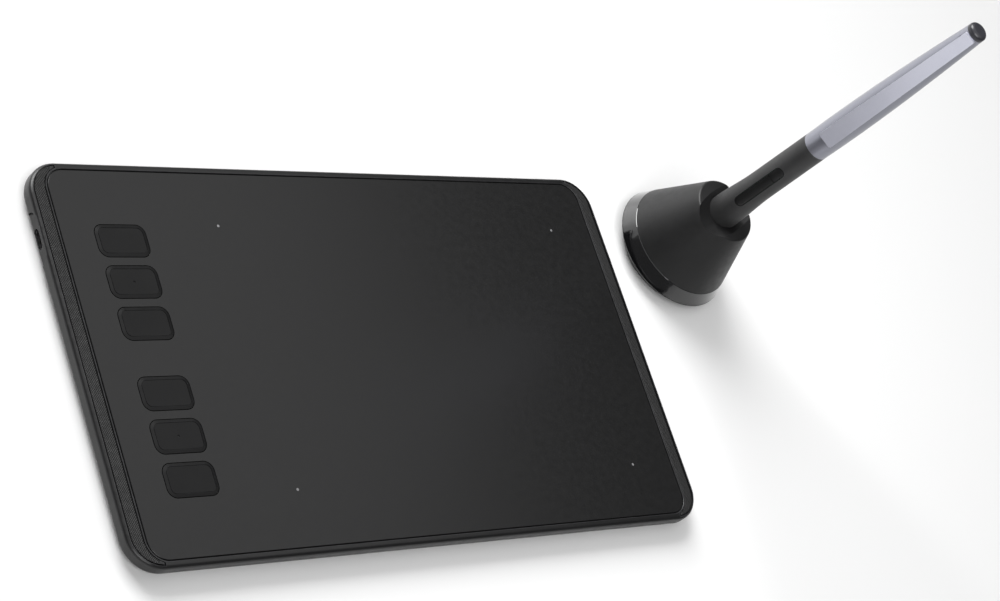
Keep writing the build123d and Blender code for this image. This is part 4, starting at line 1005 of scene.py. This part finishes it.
@dataclass(frozen=True)
class RockerButton:
    """The pen's rocker, with tabs narrow enough to clear the grip at both ends of its travel."""

    tab_half: float = 1.2 * MM
    narrower: float = 0.3 * MM
    near: float = 0.02 * MM
    bar_floor: float = -0.96 * MM
    front_radius: float = 5.5 * MM
    front_facing: float = 0.9

    def narrow_tabs(self, mesh: bmesh.types.BMesh) -> None:
        """Draws the sides of both tabs in, measured from the axis that the rocker tips on.

        Args:
            mesh: A merged copy of the CAD rocker.
        """
        joints = {joint["name"]: joint for joint in frame["record"]["behaviour"]["joints"]}
        across = Vector(joints["rocker_tilt"]["axis"])
        pivot = Vector(joints["rocker_tilt"]["pos_m"])
        inward = Vector((0, 0, 1)).cross(across)
        for vert in mesh.verts:
            offset = vert.co - pivot
            side = offset.dot(across)
            if abs(abs(side) - self.tab_half) < self.near and offset.dot(inward) > self.bar_floor:
                vert.co -= math.copysign(self.narrower, side) * across

    def shade_front(self, data: bpy.types.Mesh) -> None:
        """Shades the front round the pen's axis and leaves every other face flat.

        Args:
            data: The rocker's mesh.
        """
        low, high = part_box("pen_coil")
        middle = (low + high) / 2
        normals = []
        for face in data.polygons:
            for index in face.vertices:
                spoke = Vector((*(data.vertices[index].co - middle).xy, 0.0))
                out = spoke.normalized()
                on_front = spoke.length > self.front_radius and face.normal.dot(out) > self.front_facing
                normals.append(out if on_front else face.normal)
        data.normals_split_custom_set(normals)

    def build(self, paints: Paintbox) -> list[Piece]:
        """Builds the rocker and puts it in place of its CAD node.

        Args:
            paints: The materials.

        Returns:
            The piece, in a list.
        """
        mesh = merged_copy("pen_rocker_button")
        self.narrow_tabs(mesh)
        piece = finished(mesh, "rocker_with_clear_tabs")
        self.shade_front(piece.data)
        paints.dress(piece, "rocker_plastic")
        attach(piece, "rocker")
        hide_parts("pen_rocker_button")
        return [piece]


@dataclass(frozen=True)
class BoardParts:
    """Small chip capacitors with tinned ends beside the control chips."""

    length: float = 2.0 * MM
    width: float = 1.2 * MM
    height: float = 0.55 * MM
    end: float = 0.4 * MM
    skin: float = 0.03 * MM
    column_pitch: float = 3.7 * MM
    columns: int = 3
    rows_mm: tuple[float, ...] = (-40.0, -36.0, -32.0, -28.0, -15.0, -10.0, 16.4, 29.0, 33.0, 37.0, 41.0)

    def feet(self) -> list[Vector]:
        """The middle of each capacitor's foot, row by row.

        Returns:
            The places on the control board.
        """
        low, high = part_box("control_chips")
        middle = (low.x + high.x) / 2
        across = [(column - (self.columns - 1) / 2) * self.column_pitch for column in range(self.columns)]
        return [Vector((middle + x, row * MM, low.z)) for row in self.rows_mm for x in across]

    def body(self, mesh: bmesh.types.BMesh, foot: Vector) -> None:
        """Adds one ceramic body, a little smaller than its ends.

        Args:
            mesh: The bmesh of the bodies.
            foot: The middle of the capacitor's foot.
        """
        half = Vector((self.length / 2 - self.end, self.width / 2 - self.skin, 0))
        top = Vector((0, 0, self.height - self.skin))
        block(mesh, foot - half, foot + half + top)

    def ends(self, mesh: bmesh.types.BMesh, foot: Vector) -> None:
        """Adds the two tinned ends of one capacitor.

        Args:
            mesh: The bmesh of the ends.
            foot: The middle of the capacitor's foot.
        """
        half = Vector((self.end / 2, self.width / 2, 0))
        top = Vector((0, 0, self.height))
        for side in (-1, 1):
            middle = foot + Vector((side * (self.length - self.end) / 2, 0, 0))
            block(mesh, middle - half, middle + half + top)

    def build(self, paints: Paintbox) -> list[Piece]:
        """Builds the bodies and their ends, one piece each.

        Args:
            paints: The materials.

        Returns:
            The two pieces.
        """
        makers = (
            (self.body, "board_capacitors", "capacitor"),
            (self.ends, "board_capacitor_ends", "tinned"),
        )
        pieces = []
        for add, name, finish in makers:
            mesh = bmesh.new()
            for foot in self.feet():
                add(mesh, foot)
            piece = finished(mesh, name)
            paints.dress(piece, finish)
            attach(piece, "root")
            pieces.append(piece)
        return pieces


@dataclass(frozen=True)
class SoftBox:
    """A large soft light that looks at a point."""

    name: str
    place: Triple
    aim: Triple
    width: float
    height: float
    power: float

    def build(self) -> None:
        """Adds the light to the scene."""
        data = bpy.data.lights.new(self.name, "AREA")
        data.shape = "RECTANGLE"
        data.size = self.width
        data.size_y = self.height
        data.energy = self.power
        lamp = bpy.data.objects.new(self.name, data)
        lamp.location = self.place
        lamp.rotation_mode = "QUATERNION"
        lamp.rotation_quaternion = (Vector(self.aim) - Vector(self.place)).to_track_quat("-Z", "Y")
        bpy.context.scene.collection.objects.link(lamp)


@dataclass(frozen=True)
class Studio:
    """The pale floor, the light and the camera."""

    floor_size: float = 8.0
    floor_colour: Triple = (0.82, 0.82, 0.82)
    floor_cloud: float = 0.3
    floor_stray: float = 0.01
    floor_gloss: Span = (0.42, 0.46)
    sky_colour: Triple = (1.0, 1.0, 1.0)
    sky_strength: float = 0.13
    camera_place: Triple = (-0.609805, -0.287363, 0.642417)
    camera_turn: Triple = (33.5958, -36.8173, -22.2836)
    lens: float = 90.7
    sensor_width: float = 36.0
    camera_reach: Span = (0.01, 50.0)
    boxes: tuple[SoftBox, ...] = (
        SoftBox("panel_glow", (0.04, 0.134, 0.3), (0.04, 0.134, 0.0), 0.42, 0.47, 0.51),
        SoftBox("key_light", (-1.4, -1.8, 2.6), (0.0, 0.0, 0.0), 2.4, 2.4, 72.0),
        SoftBox("back_light", (-0.65, 2.65, 1.8), (0.0, 0.0, 0.0), 2.0, 2.0, 135.0),
    )

    def floor(self) -> None:
        """A wide pale floor with a faint satin."""
        mesh = bmesh.new()
        bmesh.ops.create_grid(mesh, x_segments=4, y_segments=4, size=self.floor_size / 2)
        floor = finished(mesh, "studio_floor")
        graph = Graph("studio_floor")
        cloud = graph.noise(self.floor_cloud)
        darker = shade(self.floor_colour, 1 - self.floor_stray)
        lighter = shade(self.floor_colour, 1 + self.floor_stray)
        graph.feed(graph.shader.inputs["Base Color"], graph.mix(cloud, darker, lighter))
        graph.feed(graph.shader.inputs["Roughness"], graph.remap(cloud, NOISE_BAND, self.floor_gloss))
        floor.data.materials.append(graph.material)

    def sky(self) -> None:
        """A plain pale surround."""
        world = bpy.data.worlds.new("studio_surround")
        world.use_nodes = True
        background = world.node_tree.nodes["Background"]
        background.inputs["Color"].default_value = shade(self.sky_colour, 1.0)
        background.inputs["Strength"].default_value = self.sky_strength
        bpy.context.scene.world = world

    def camera(self) -> None:
        """The camera, at the photograph's viewing angle."""
        data = bpy.data.cameras.new("camera")
        data.lens = self.lens
        data.sensor_width = self.sensor_width
        data.clip_start, data.clip_end = self.camera_reach
        camera = bpy.data.objects.new("camera", data)
        camera.location = self.camera_place
        camera.rotation_euler = [math.radians(angle) for angle in self.camera_turn]
        bpy.context.scene.collection.objects.link(camera)
        bpy.context.scene.camera = camera

    def build(self) -> None:
        """Sets up the studio."""
        self.floor()
        self.sky()
        self.camera()
        for box in self.boxes:
            box.build()
        bpy.context.scene.view_settings.view_transform = "Standard"


def main() -> None:
    """Dresses the nodes, builds the pieces and sets up the studio."""
    logging.basicConfig(level=logging.INFO, format="%(message)s")
    paints = Paintbox()
    paints.dress_nodes()
    assemblies = (
        TrimStrips(),
        PortContacts(),
        Screws("cover_screws", "threaded_cover_screws", head_height=0.58 * MM, single_left=False),
        Screws("board_screws", "threaded_board_screws", head_height=0.5 * MM, single_left=True),
        PenCoil(),
        RockerButton(),
        BoardParts(),
    )
    for assembly in assemblies:
        for piece in assembly.build(paints):
            LOG.info("built %s, %d faces", piece.name, len(piece.data.polygons))
    Studio().build()


if __name__ == "__main__":
    main()
